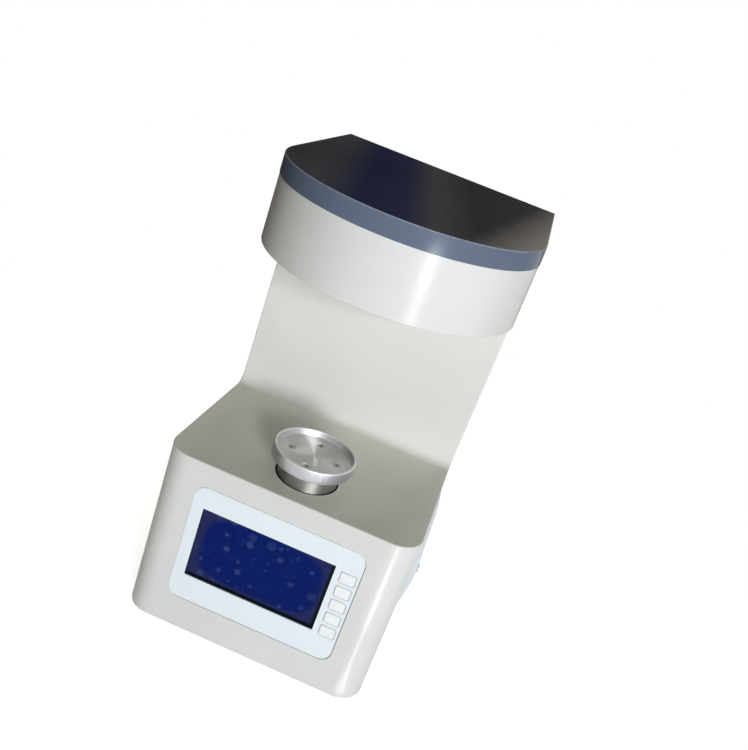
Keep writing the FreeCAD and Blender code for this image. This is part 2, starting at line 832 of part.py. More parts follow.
def bottom_plate():
    """Steel plate inside the base's lower edge: it carries the feet, the lift and the boards."""
    body = new_body("bottom_plate")
    inset = size.wall + size.bottom_gap
    plan = sketch_on(body, "XY", BOTTOM)
    rectangle(plan, inset - HALF_WIDTH, FRONT + inset, size.base_width - 2 * inset,
              size.base_depth - 2 * inset)
    pad(body, plan, size.bottom_thickness)
    soften(body, size.corner_radius - inset, lambda edge: is_upright_at(edge, FRONT + inset))
    holes = sketch_on(body, "XY", FLOOR_UP)
    circles(holes, [(sign * LUG_X, y) for sign, y in LUGS] + FEET + PILLARS, size.bolt_radius)
    pocket(body, holes, size.bottom_thickness)
    piece(body, "bottom_plate")


def feet():
    """Four rubber feet, each with a sunk screw up through the bottom plate, and the plate's own
    screws into the housing's lugs and the lift's pillars."""
    rubber, screws = [], []
    for number, (x, y) in enumerate(FEET):
        body = cone(f"foot_{number}", 0, (x, y), size.foot_tip_radius, size.foot_radius, size.foot_height)
        well = rod(f"foot_{number}_well", "z", 0, (x, y), size.bolt_head_radius + size.foot_well_gap,
                   size.foot_well)
        hole = rod(f"foot_{number}_hole", "z", 0, (x, y), size.bolt_radius, size.foot_height)
        rubber.append(cut(f"foot_{number}_cut", body, well, hole))
        screws.append(bolt(f"foot_screw_{number}", "z", -1, size.foot_well, (x, y),
                           FLOOR_UP - size.foot_well))
    piece(group("rubber_feet", *rubber), "rubber_feet")
    fixings = [(sign * LUG_X, y) for sign, y in LUGS] + PILLARS
    screws += [bolt(f"plate_screw_{number}", "z", -1, BOTTOM, place,
                    size.bolt_length + size.bottom_thickness)
               for number, place in enumerate(fixings)]
    piece(group("bottom_screws", *screws), "bottom_screws")


# -------------------------------------------------------------------------------------- head
def head_shell():
    """The drum of the head: half-round in front, flat behind, with its own floor."""
    body = new_body("head_shell")
    wall = size.wall
    plan = sketch_on(body, "XY", HEAD_FLOOR)
    half_round(plan, HEAD_RADIUS, HEAD_CENTRE, BACK)
    pad(body, plan, size.drum_height)
    soften(body, size.edge_radius, lambda edge: is_upright_at(edge, BACK))
    soften(body, size.lid_edge_radius, lambda edge: is_near(edge.CenterOfMass.z, HEAD_FLOOR))
    inside = sketch_on(body, "XY", DRUM_TOP)
    half_round(inside, HEAD_RADIUS - wall, HEAD_CENTRE, BACK - wall)
    pocket(body, inside, size.drum_height - wall)
    floor = sketch_on(body, "XY", HEAD_INSIDE)
    rectangle(floor, -size.cable_hole_width / 2, CABLE_HOLE_Y, size.cable_hole_width, size.cable_hole_depth)
    circles(floor, HEAD_BOLTS, size.bolt_radius)
    circles(floor, [(0, DISH_Y)], size.hook_hole_radius)
    pocket(body, floor, 2 * wall)
    lid_holes = sketch_on(body, "XZ", 2 * wall - BACK)
    circles(lid_holes, LID_BOLTS, size.bolt_radius)
    pocket(body, lid_holes, 2 * wall)
    piece(body, "head_shell")


def head_lid():
    """Slate-coloured cap on the drum, with a lip that drops inside the drum's wall."""
    body = new_body("head_lid")
    outer = HEAD_RADIUS + size.lid_overhang
    plan = sketch_on(body, "XY", DRUM_TOP)
    half_round(plan, outer, HEAD_CENTRE, BACK + size.lid_overhang)
    pad(body, plan, size.lid_height)
    soften(body, size.edge_radius, lambda edge: runs_along(edge, "z") and edge.CenterOfMass.y > BACK.number)
    top = DRUM_TOP + size.lid_height
    soften(body, size.lid_edge_radius, lambda edge: is_near(edge.CenterOfMass.z, top))
    inside = sketch_on(body, "XY", DRUM_TOP)
    half_round(inside, HEAD_RADIUS - size.wall, HEAD_CENTRE, BACK - size.wall)
    hollow = pocket(body, inside, size.lid_height - size.wall)
    hollow.Reversed = True
    lip_outer = HEAD_RADIUS - size.wall - size.lip_gap
    lip_back = BACK - size.wall - size.lip_gap
    lip = sketch_on(body, "XY", DRUM_TOP - size.lip_depth)
    half_round(lip, lip_outer, HEAD_CENTRE, lip_back)
    half_round(lip, lip_outer - size.lip_thickness, HEAD_CENTRE, lip_back - size.lip_thickness)
    pad(body, lip, size.lip_depth + size.lid_height - size.wall)
    bolts = sketch_on(body, "XZ", 4 * size.wall - BACK)
    circles(bolts, LID_BOLTS, size.bolt_radius)
    pocket(body, bolts, 4 * size.wall)
    piece(body, "head_lid")


def head_fasteners():
    """Bolts between head and column, and the two screws that hold the lid from behind."""
    through = 2 * size.wall
    head = [bolt(f"head_bolt_{number}", "z", 1, HEAD_INSIDE, place, through)
            for number, place in enumerate(HEAD_BOLTS)]
    piece(group("head_bolts", *head), "head_bolts")
    lid = [bolt(f"lid_screw_{number}", "y", 1, BACK, place, size.wall + size.lip_gap + size.lip_thickness)
           for number, place in enumerate(LID_BOLTS)]
    piece(group("lid_screws", *lid), "lid_screws")


# ------------------------------------------------------------------------------- front panel
def face_plate(name, proud, thickness):
    """A thin plate with the outline of the front overlay, pierced for the window and keys."""
    body = new_body(name)
    plate = sketch_on(body, "XZ", proud - FRONT - thickness)
    rounded(plate, OVERLAY_LEFT, OVERLAY_LOW, size.overlay_width, size.overlay_height, size.overlay_radius)
    pad(body, plate, thickness)
    holes = sketch_on(body, "XZ", proud - FRONT)
    rectangle(holes, WINDOW_LEFT, WINDOW_LOW, size.window_width, size.window_height)
    for left, low in KEYS:
        rounded(holes, left - size.key_gap, low - size.key_gap, size.key_width + 2 * size.key_gap,
                size.key_height + 2 * size.key_gap, size.key_radius + size.key_gap)
    pocket(body, holes, thickness)
    piece(body, name)


def keys():
    """Five embossed keys, each over its own snap dome on the membrane circuit."""
    face = FRONT - size.overlay_proud - size.key_proud
    domes = []
    for number, (left, low) in enumerate(KEYS, start=1):
        body = new_body(f"key_{number}")
        plate = sketch_on(body, "XZ", -face - size.key_thickness)
        rounded(plate, left, low, size.key_width, size.key_height, size.key_radius)
        pad(body, plate, size.key_thickness)
        soften(body, size.key_bevel, lambda edge: is_near(edge.CenterOfMass.y, face), "Chamfer")
        piece(body, f"key_{number}")
        dome_front = face + size.key_thickness + size.key_travel + size.running_gap
        middle = (left + size.key_width / 2, low + size.key_height / 2)
        domes.append(rod(f"dome_{number}", "y", dome_front, middle, size.dome_radius,
                         MEMBRANE_BACK - dome_front))
    piece(group("key_domes", *domes), "key_domes")


def display():
    """Clear window behind the overlay, and the display module that it protects."""
    gap, ledge = size.overlay_gap, size.window_ledge
    cut_left, cut_low = WINDOW_LEFT - ledge, WINDOW_LOW - ledge
    cut_width, cut_height = size.window_width + 2 * ledge, size.window_height + 2 * ledge
    lens = box("display_window", cut_left + gap, MEMBRANE_BACK, cut_low + gap,
               cut_width - 2 * gap, size.wall - RECESS_DEPTH, cut_height - 2 * gap)
    piece(lens, "display_window")

    rim, face, wall = size.display_rim, size.display_face, size.display_face
    outer_left, outer_low = cut_left - rim, cut_low - rim
    outer_width, outer_height = cut_width + 2 * rim, cut_height + 2 * rim
    can = box("display_can", outer_left, INNER_FRONT, outer_low, outer_width, size.display_depth,
              outer_height)
    hollow = box("display_hollow", outer_left + wall, INNER_FRONT + face, outer_low + wall,
                 outer_width - 2 * wall, size.display_depth, outer_height - 2 * wall)
    view_width = size.window_width - size.display_border_right
    opening = box("display_opening", WINDOW_LEFT, INNER_FRONT, WINDOW_LOW + size.display_border,
                  view_width, face, size.window_height - size.display_border)
    piece(cut("display_frame", can, hollow, opening), "display_frame")
    fit = wall + size.overlay_gap
    panel = box("display_panel", outer_left + fit, INNER_FRONT + face, outer_low + fit,
                outer_width - 2 * fit, size.display_depth - face, outer_height - 2 * fit)
    piece(panel, "display_panel")
    margin = size.display_board_margin
    board = box("display_board", outer_left - margin, INNER_FRONT + size.display_depth, outer_low - margin,
                outer_width + 2 * margin, size.board_thickness, outer_height + 2 * margin)
    piece(board, "display_board")


# -------------------------------------------------------------------------------------- lift
def sample_dish():
    """Turned aluminium dish: a thin rim round a flat floor with four countersunk holes."""
    body = new_body("dish_turning")
    profile = sketch_on(body, "XZ", 0)
    bevel = size.dish_bevel
    radius, inner = size.dish_radius, size.dish_radius - size.dish_wall
    outline(profile, [
        (0, DISH_UNDER), (radius - 2 * bevel, DISH_UNDER), (radius - bevel, DISH_UNDER + bevel),
        (radius, DISH_RIM - bevel), (radius - bevel, DISH_RIM), (inner + bevel, DISH_RIM),
        (inner, DISH_RIM - bevel), (inner, DISH_FLOOR + bevel), (inner - bevel, DISH_FLOOR),
        (0, DISH_FLOOR),
    ])
    revolve(body, profile)
    bind(body, "Placement.Base.y", DISH_Y)
    sinks = []
    screws = []
    head, shank = size.dish_screw_head, size.dish_screw_shank
    for number, (x, y) in enumerate(DISH_SCREWS):
        taper = cone(f"dish_sink_{number}", DISH_FLOOR - (head - shank), (x, y), shank, head, head - shank)
        hole = rod(f"dish_hole_{number}", "z", DISH_UNDER, (x, y), shank, DISH_FLOOR - DISH_UNDER)
        sinks += [taper, hole]
        screws.append(flat_screw(number, x, y))
    piece(cut("sample_dish_cut", body, *sinks), "sample_dish")
    piece(group("dish_screws", *screws), "dish_screws")


def flat_screw(number, x, y):
    """A countersunk socket screw, its head just below the dish's floor."""
    head_top = DISH_FLOOR - size.dish_screw_sunk
    head, shank = size.dish_screw_head - size.dish_screw_sunk, size.dish_screw_shank
    taper = cone(f"dish_screw_{number}_head", head_top - (head - shank), (x, y), shank, head, head - shank)
    bar = rod(f"dish_screw_{number}_shank", "z", head_top - size.dish_screw_length, (x, y), shank,
              size.dish_screw_length - (head - shank))
    socket = doc.addObject("Part::Prism", f"dish_screw_{number}_socket")
    socket.Polygon = 6
    bind(socket, "Circumradius", size.hex_socket_radius)
    bind(socket, "Height", size.hex_socket_depth)
    at(socket, x, y, head_top - size.hex_socket_depth)
    return cut(f"dish_screw_{number}_cut", fuse(f"dish_screw_{number}", taper, bar), socket)


def platform_post():
    """Hollow post under the dish: it slides through the base's top over the lead screw."""
    post = rod("post_bar", "z", CARRIAGE_TOP, (0, DISH_Y), size.post_radius, size.post_length)
    bore = rod("post_bore", "z", CARRIAGE_TOP, (0, DISH_Y), size.post_bore,
               size.post_length - size.post_cap)
    depth = size.dish_screw_length
    holes = [rod(f"post_hole_{number}", "z", DISH_UNDER - depth, place, size.dish_screw_shank, depth)
             for number, place in enumerate(DISH_SCREWS)]
    piece(cut("platform_post", post, bore, *holes), "platform_post")


def lift_carriage():
    """Carriage on two linear bushes, moved by a flanged nut on the lead screw."""
    plate = box("carriage_plate", -size.carriage_width / 2, DISH_Y - size.carriage_depth / 2, CARRIAGE_LOW,
                size.carriage_width, size.carriage_depth, size.carriage_thickness)
    seat = [rod(f"bush_seat_{number}", "z", CARRIAGE_LOW, place, size.bush_radius, size.carriage_thickness)
            for number, place in enumerate(GUIDES)]
    disc = rod("carriage_disc", "z", CARRIAGE_LOW, (0, DISH_Y), size.post_radius, size.carriage_thickness)
    nut_seat = rod("nut_seat", "z", CARRIAGE_LOW, (0, DISH_Y), size.nut_radius, size.carriage_thickness)
    piece(cut("lift_carriage", fuse("carriage_blank", plate, disc), nut_seat, *seat), "lift_carriage")

    bush_low = CARRIAGE_LOW + size.carriage_thickness / 2 - size.bush_length / 2
    bushes = [tube(f"bush_{number}", "z", bush_low, place, size.bush_radius,
                   size.guide_radius + size.running_gap, size.bush_length)
              for number, place in enumerate(GUIDES)]
    piece(group("linear_bushes", *bushes), "linear_bushes")

    flange_low = CARRIAGE_LOW - size.nut_flange_thickness
    nut = fuse("nut_blank",
               rod("nut_flange", "z", flange_low, (0, DISH_Y), size.nut_flange_radius,
                   size.nut_flange_thickness),
               rod("nut_barrel", "z", CARRIAGE_LOW, (0, DISH_Y), size.nut_radius, size.nut_length))
    thread = rod("nut_thread", "z", flange_low, (0, DISH_Y), size.screw_radius + size.running_gap,
                 size.nut_flange_thickness + size.nut_length)
    piece(cut("lead_nut", nut, thread), "lead_nut")


def lift_frame():
    """Fixed frame of the lift: pillars, two plates and the guide rods that join them."""
    left, front = -size.lift_width / 2, DISH_Y - size.lift_plate_depth / 2
    thickness = size.lift_plate_thickness
    pillars = []
    for number, place in enumerate(PILLARS):
        bar = rod(f"pillar_{number}_bar", "z", FLOOR_UP, place, size.pillar_radius, size.pillar_length)
        hole = rod(f"pillar_{number}_hole", "z", FLOOR_UP, place, size.bolt_radius, size.bolt_length)
        pillars.append(cut(f"pillar_{number}", bar, hole))
    piece(group("lift_pillars", *pillars), "lift_pillars")

    for name, low, radius in (
            ("lift_deck", LIFT_FLOOR, size.motor_pilot_radius + size.motor_pilot_gap),
            ("lift_roof", LIFT_ROOF, size.post_radius + size.post_gap)):
        plate = box(f"{name}_plate", left, front, low, size.lift_width, size.lift_plate_depth, thickness)
        middle = rod(f"{name}_middle", "z", low, (0, DISH_Y), radius, thickness)
        seats = [rod(f"{name}_seat_{number}", "z", low, place, size.guide_radius, thickness)
                 for number, place in enumerate(GUIDES)]
        piece(cut(name, plate, middle, *seats), name)
    guides = [rod(f"guide_{number}", "z", LIFT_FLOOR, place, size.guide_radius,
                  size.guide_length + 2 * thickness)
              for number, place in enumerate(GUIDES)]
    piece(group("guide_rods", *guides), "guide_rods")


def motor_and_switch():
    """Stepper motor hung from the lift's lower plate, and the switch that finds its lowest place."""
    width, height = size.motor_width, size.motor_height
    low = LIFT_FLOOR - height
    case = box("motor_case", -width / 2, DISH_Y - width / 2, low, width, width, height)
    pilot = rod("motor_pilot", "z", LIFT_FLOOR, (0, DISH_Y), size.motor_pilot_radius,
                size.motor_pilot_height)
    bearing = rod("motor_bearing", "z", low + size.motor_end_cap, (0, DISH_Y),
                  size.motor_shaft_radius + size.running_gap, height)
    piece(cut("stepper_motor", fuse("motor_blank", case, pilot), bearing), "stepper_motor")

    left = size.lift_width / 2 - size.limit_inset - size.limit_width
    front = DISH_Y - size.lift_plate_depth / 2 + size.limit_inset
    switch = box("switch_case", left, front, LIFT_DECK, size.limit_width, size.limit_depth,
                 size.limit_height)
    lever = box("switch_lever", left + (size.limit_width - size.lever_length) / 2,
                front + (size.limit_depth - size.lever_width) / 2, LIFT_DECK + size.limit_height,
                size.lever_length, size.lever_width, size.lever_thickness)
    piece(fuse("limit_switch", switch, lever), "limit_switch")


def lead_screw():
    """Motor shaft, coupling and lead screw, which turn together."""
    shaft_low = LIFT_FLOOR - size.motor_height + size.motor_end_cap + size.running_gap
    low, length = LIFT_DECK + size.coupling_rise, size.coupling_length
    middle = low + length / 2
    centre = (0, DISH_Y)
    shaft = rod("motor_shaft", "z", shaft_low, centre, size.motor_shaft_radius, middle - shaft_low)
    screw = rod("screw_bar", "z", middle, centre, size.screw_radius, size.screw_length)
    piece(fuse("lead_screw", shaft, screw), "lead_screw")
    barrel = rod("coupling_barrel", "z", low, centre, size.coupling_radius, length)
    low_bore = rod("coupling_low_bore", "z", low, centre, size.motor_shaft_radius, length / 2)
    high_bore = rod("coupling_high_bore", "z", middle, centre, size.screw_radius, length / 2)
    slits = [tube(f"coupling_slit_{number}", "z", middle + (number - 1) * size.coupling_slit_pitch, centre,
                  size.coupling_radius, size.coupling_radius - size.coupling_slit_depth, size.coupling_slit)
             for number in range(3)]
    piece(cut("shaft_coupling", barrel, low_bore, high_bore, *slits), "shaft_coupling")


# ------------------------------------------------------------------------- boards and supply
def electronics():
    """Main board on standoffs and a boxed mains supply, both on the bottom plate."""
    inner = HALF_WIDTH - size.wall
    left = size.lug_width + size.main_board_gap - inner
    front = BACK - size.wall - size.main_board_back - size.main_board_depth
    sheet_low = FLOOR_UP + size.standoff_height
    deck = sheet_low + size.board_thickness
    sheet = box("board_sheet", left, front, sheet_low, size.main_board_width, size.main_board_depth,
                size.board_thickness)
    relay = box("board_relay", left + size.relay_left, front + size.relay_front, deck,
                size.relay_width, size.relay_depth, size.relay_height)
    chip = box("board_chip", left + size.chip_left, front + size.chip_front, deck,
               size.chip_width, size.chip_width, size.chip_height)
    headers = [box(f"board_header_{number}", left + size.header_left + number * size.header_pitch,
                   front + size.standoff_inset, deck,
                   size.header_width, size.header_depth, size.header_height)
               for number in range(HEADERS)]
    piece(fuse("main_board", sheet, relay, chip, *headers), "main_board")
    inset = size.standoff_inset
    corners = [(x, y) for x in (left + inset, left + size.main_board_width - inset)
               for y in (front + inset, front + size.main_board_depth - inset)]
    standoffs = [rod(f"standoff_{number}", "z", FLOOR_UP, place, size.standoff_radius, size.standoff_height)
                 for number, place in enumerate(corners)]
    piece(group("board_standoffs", *standoffs), "board_standoffs")
    supply_left = left + size.main_board_width + size.supply_gap
    supply = box("power_supply", supply_left,
                 BACK - size.wall - size.supply_back - size.supply_depth, FLOOR_UP,
                 inner - size.supply_right - supply_left, size.supply_depth, size.supply_height)
    piece(supply, "power_supply")


# -------------------------------------------------------------------------------- rear panel
INLET_X = HALF_WIDTH - size.inlet_right
INLET_Z = BOTTOM + size.inlet_rise
SWITCH_Z = BOTTOM + size.switch_rise
FUSE_X = INLET_X - size.fuse_left
SERIAL_X = size.serial_left - HALF_WIDTH
SERIAL_Z = BOTTOM + size.serial_rise
SWITCH_BODY_WIDTH = size.switch_width + 2 * size.switch_wall
SWITCH_BODY_HEIGHT = size.switch_height + 2 * size.switch_wall


def rear_panel():
    """Removable plate over the back, with the mains fittings, the data socket and vents."""
    body = new_body("rear_panel")
    plate = sketch_on(body, "XZ", -PANEL_FACE)
    rounded(plate, PANEL_LEFT, PANEL_LOW, PANEL_WIDTH, PANEL_HEIGHT, size.wall)
    pad(body, plate, size.panel_thickness)
    holes = sketch_on(body, "XZ", -BACK)
    circles(holes, PANEL_BOLTS, size.bolt_radius)
    circles(holes, [(FUSE_X, INLET_Z)], size.fuse_radius)
    rectangle(holes, INLET_X - size.inlet_width / 2, INLET_Z - size.inlet_height / 2,
              size.inlet_width, size.inlet_height)
    rectangle(holes, INLET_X - SWITCH_BODY_WIDTH / 2, SWITCH_Z - SWITCH_BODY_HEIGHT / 2,
              SWITCH_BODY_WIDTH, SWITCH_BODY_HEIGHT)
    rectangle(holes, SERIAL_X - size.serial_shell_width / 2, SERIAL_Z - size.serial_shell_height / 2,
              size.serial_shell_width, size.serial_shell_height)
    for number in range(VENTS):
        rounded(holes, -size.vent_width / 2, BOTTOM + size.vent_rise + number * size.vent_pitch,
                size.vent_width, size.vent_height, size.vent_height * 0.48)
    pocket(body, holes, size.panel_thickness)
    piece(body, "rear_panel")
    screws = [bolt(f"rear_screw_{number}", "y", 1, PANEL_FACE, place, size.panel_thickness + size.wall)
              for number, place in enumerate(PANEL_BOLTS)]
    piece(group("rear_screws", *screws), "rear_screws")


def block_behind(name, x, z, width, height, start, length):
    """A block centred on x, z that runs along Y from a start."""
    return box(name, x - width / 2, start, z - height / 2, width, length, height)


def power_inlet():
    """Mains inlet with three blade pins in a socket whose two upper corners are cut."""
    flange = block_behind("inlet_flange", INLET_X, INLET_Z, size.inlet_flange_width,
                          size.inlet_flange_height,
                          PANEL_FACE, size.inlet_flange)
    barrel = block_behind("inlet_barrel", INLET_X, INLET_Z, size.inlet_width, size.inlet_height,
                          PANEL_FACE - size.inlet_depth, size.inlet_depth)
    face = PANEL_FACE + size.inlet_flange
    body = new_body("inlet_socket")
    mouth = sketch_on(body, "XZ", -face)
    left, right = INLET_X - size.socket_width / 2, INLET_X + size.socket_width / 2
    low, high = INLET_Z - size.socket_height / 2, INLET_Z + size.socket_height / 2
    corner = size.socket_chamfer
    outline(mouth, [(left, low), (right, low), (right, high - corner), (right - corner, high),
                    (left + corner, high), (left, high - corner)])
    pad(body, mouth, size.socket_depth)
    floor = face - size.socket_depth
    pins = [block_behind(f"inlet_pin_{number}", INLET_X + (number - 1) * size.pin_pitch,
                         INLET_Z + side * size.pin_offset, size.pin_width, size.pin_height,
                         floor - EMBED, size.pin_length + EMBED) for number, side in enumerate((-1, 1, -1))]
    shell = cut("inlet_shell", fuse("inlet_blank", flange, barrel), body)
    piece(fuse("power_inlet", shell, *pins), "power_inlet")


def power_switch():
    """Rocker switch: a frame in the panel, and a rocker that rests tipped one way."""
    x, z, gap = INLET_X, SWITCH_Z, size.running_gap
    rim = size.switch_rim
    flange = block_behind("switch_flange", x, z, SWITCH_BODY_WIDTH + rim, SWITCH_BODY_HEIGHT + rim,
                          PANEL_FACE, size.switch_flange)
    barrel = block_behind("switch_barrel", x, z, SWITCH_BODY_WIDTH, SWITCH_BODY_HEIGHT,
                          PANEL_FACE - size.switch_depth, size.switch_depth)
    well = block_behind("switch_well", x, z, size.switch_width, size.switch_height,
                        PANEL_FACE - size.switch_depth + size.switch_floor,
                        size.switch_depth + size.switch_flange)
    pivot_length = size.switch_width + size.switch_wall
    hole = rod("switch_pivot", "x", x - pivot_length / 2 - gap, (PANEL_FACE, z),
               size.rocker_pin_radius + gap, pivot_length + 2 * gap)
    frame = cut("switch_frame", fuse("switch_blank", flange, barrel), well, hole)
    piece(frame, "switch_frame")

    width = size.switch_width - 2 * size.rocker_side_gap
    body = new_body("rocker")
    side = sketch_on(body, "YZ", -width / 2)
    half, rise, skirt = size.rocker_half, size.rocker_rise, size.rocker_skirt
    heel, heel_half = -size.rocker_heel, size.rocker_heel_half
    outline(side, [(rise, -half), (rise - size.rocker_dip, 0), (rise, half), (skirt, half),
                   (heel, heel_half), (heel, -heel_half), (skirt, -half)])
    pad(body, side, width)
    body.Placement = Placement(Vector(), Rotation(AXES["x"], size.rocker_tilt.number))
    at(body, x, PANEL_FACE, z)
    pin_bar = rod("rocker_pin", "x", x - pivot_length / 2, (PANEL_FACE, z), size.rocker_pin_radius,
                  pivot_length)
    piece(fuse("power_rocker", body, pin_bar), "power_rocker")


def fuse_holder():
    """Fuse holder with a round cap that has a slot across it."""
    barrel = rod("fuse_barrel", "y", PANEL_FACE - size.fuse_depth, (FUSE_X, INLET_Z),
                 size.fuse_radius, size.fuse_depth)
    cap = rod("fuse_cap", "y", PANEL_FACE, (FUSE_X, INLET_Z), size.fuse_cap_radius, size.fuse_cap_height)
    slot = block_behind("fuse_slot", FUSE_X, INLET_Z, size.fuse_cap_radius, size.fuse_slot_width,
                        PANEL_FACE + size.fuse_cap_height - size.fuse_slot_depth, size.fuse_slot_depth)
    piece(cut("fuse_holder", fuse("fuse_blank", barrel, cap), slot), "fuse_holder")


def serial_port():
    """Nine-way data socket in a metal shell, between two jack screws."""
    x, z, shell_wall = SERIAL_X, SERIAL_Z, size.serial_shell_wall
    width, height = size.serial_shell_width, size.serial_shell_height
    flange_face = PANEL_FACE + size.serial_flange
    face = flange_face + size.serial_shell_proud
    flange = block_behind("serial_flange", x, z, size.serial_width, size.serial_height, PANEL_FACE,
                          size.serial_flange)
    shell = block_behind("serial_shell", x, z, width, height, PANEL_FACE - size.serial_depth,
                         face - PANEL_FACE + size.serial_depth)
    depth, gap = size.serial_mouth_depth, size.serial_tongue_gap
    mouth = block_behind("serial_mouth", x, z, width - 2 * shell_wall, height - 2 * shell_wall,
                         face - depth, depth)
    tongue = block_behind("serial_tongue", x, z, width - 2 * (shell_wall + gap),
                          height - 2 * (shell_wall + gap),
                          face - depth - EMBED, depth + EMBED - size.serial_tongue_dip)
    tongue_face = face - size.serial_tongue_dip
    holes = []
    for number in range(SERIAL_PINS):
        row, place = divmod(number, LONG_ROW)
        across = (place - (LONG_ROW - 1) / 2 + row / 2) * size.serial_pin_pitch
        up = (1 - 2 * row) * size.serial_pin_row
        holes.append(rod(f"serial_pin_{number}", "y", tongue_face - size.serial_pin_depth,
                         (x + across, z + up),
                         size.serial_pin_radius, size.serial_pin_depth))
    jacks = [block_behind(f"serial_jack_{side}", x + side * size.jack_spacing / 2, z, size.jack_width,
                          size.jack_width, flange_face, size.jack_height) for side in (-1, 1)]
    case = cut("serial_case", fuse("serial_solid", flange, shell), mouth)
    piece(cut("serial_port", fuse("serial_blank", case, tongue, *jacks), *holes), "serial_port")


# ----------------------------------------------------------------------------------- printer
def printer_cover():
    """The outer form that the printer's bezel and its door share: a shallow barrel along the
    wall, on a rounded plan, with both ends sloped off."""
    plan = new_body("cover_plan")
    foot = sketch_on(plan, "YZ", HALF_WIDTH)
    rounded(foot, BEZEL_FRONT, BEZEL_LOW, size.bezel_length, size.bezel_height, size.bezel_radius)
    pad(plan, foot, COVER_REACH)

    edge, crest = HALF_WIDTH + size.bezel_rim, HALF_WIDTH + COVER_REACH
    rise, crown = size.bezel_height / 2, size.bezel_crown
    radius = (rise * rise + crown * crown) / (2 * crown)
    high, back = BEZEL_LOW + size.bezel_height, BEZEL_FRONT + size.bezel_length
    barrel = new_body("cover_barrel")
    arch = sketch_on(barrel, "XZ", -back)
    outline(arch, [(HALF_WIDTH, BEZEL_LOW), (edge, BEZEL_LOW, radius, (crest - radius, BEZEL_LOW + rise)),
                   (edge, high), (HALF_WIDTH, high)])
    pad(barrel, arch, size.bezel_length)

    ends = new_body("cover_ends")
    slopes = sketch_on(ends, "XY", BEZEL_LOW)
    outline(slopes, [(HALF_WIDTH, BEZEL_FRONT), (edge, BEZEL_FRONT),
                     (crest, BEZEL_FRONT + size.bezel_slope), (crest, back - size.bezel_slope),
                     (edge, back), (HALF_WIDTH, back)])
    pad(ends, slopes, size.bezel_height)
    return common("printer_cover", common("cover_crown", plan, barrel), ends)


def printer_bezel(cover):
    """Bezel with a doorway and the two ends of the door's hinge pin."""
    gap, reach = size.door_gap, COVER_REACH + OVERRUN
    doorway = box("doorway", HALF_WIDTH, DOOR_FRONT - gap, HOLE_LOW, reach, size.door_length + 2 * gap,
                  HOLE_HEIGHT)
    pin_start = DOOR_FRONT - gap - size.door_pin_hold
    pin_length = size.door_length + 2 * (gap + size.door_pin_hold)
    pin_hole = rod("door_pin_hole", "y", pin_start, (DOOR_HINGE_X, DOOR_HINGE_Z), size.door_pin_radius,
                   pin_length)
    middle = (BUTTON_Y, BUTTON_Z)
    button_hole = rod("button_hole", "x", HALF_WIDTH, middle, size.button_radius + size.button_gap, reach)
    button_well = rod("button_well", "x", HALF_WIDTH, middle, size.button_flange + size.button_skirt_gap,
                      BUTTON_WELL)
    piece(cut("printer_bezel", cover, doorway, pin_hole, button_hole, button_well), "printer_bezel")
    piece(rod("hinge_pin", "y", pin_start, (DOOR_HINGE_X, DOOR_HINGE_Z), size.door_pin_radius, pin_length),
          "hinge_pin")


def feed_button():
    """Paper feed button, held in the bezel by the skirt behind its cap."""
    skirt_low = HALF_WIDTH + BUTTON_WELL - size.button_skirt - size.running_gap
    middle = (BUTTON_Y, BUTTON_Z)
    skirt = rod("button_skirt", "x", skirt_low, middle, size.button_flange, size.button_skirt)
    cap = rod("button_cap", "x", skirt_low, middle, size.button_radius,
              HALF_WIDTH + COVER_REACH + size.button_proud - size.running_gap - skirt_low)
    piece(fuse("feed_button", skirt, cap), "feed_button")


def printer_door(cover):
    """Paper door: the middle of the crowned cover on a barrel that turns on the hinge pin."""
    slab = box("door_slab", HALF_WIDTH, DOOR_FRONT, DOOR_HINGE_Z, COVER_REACH + OVERRUN, size.door_length,
               DOOR_TOP - DOOR_HINGE_Z)
    skin = common("door_skin", cover, slab)
    axis = (DOOR_HINGE_X, DOOR_HINGE_Z)
    barrel = rod("door_barrel", "y", DOOR_FRONT, axis, size.door_barrel_radius, size.door_length)
    bore = rod("door_bore", "y", DOOR_FRONT, axis, size.door_pin_radius + size.running_gap,
               size.door_length)
    piece(cut("printer_door", fuse("door_blank", skin, barrel), bore), "printer_door")


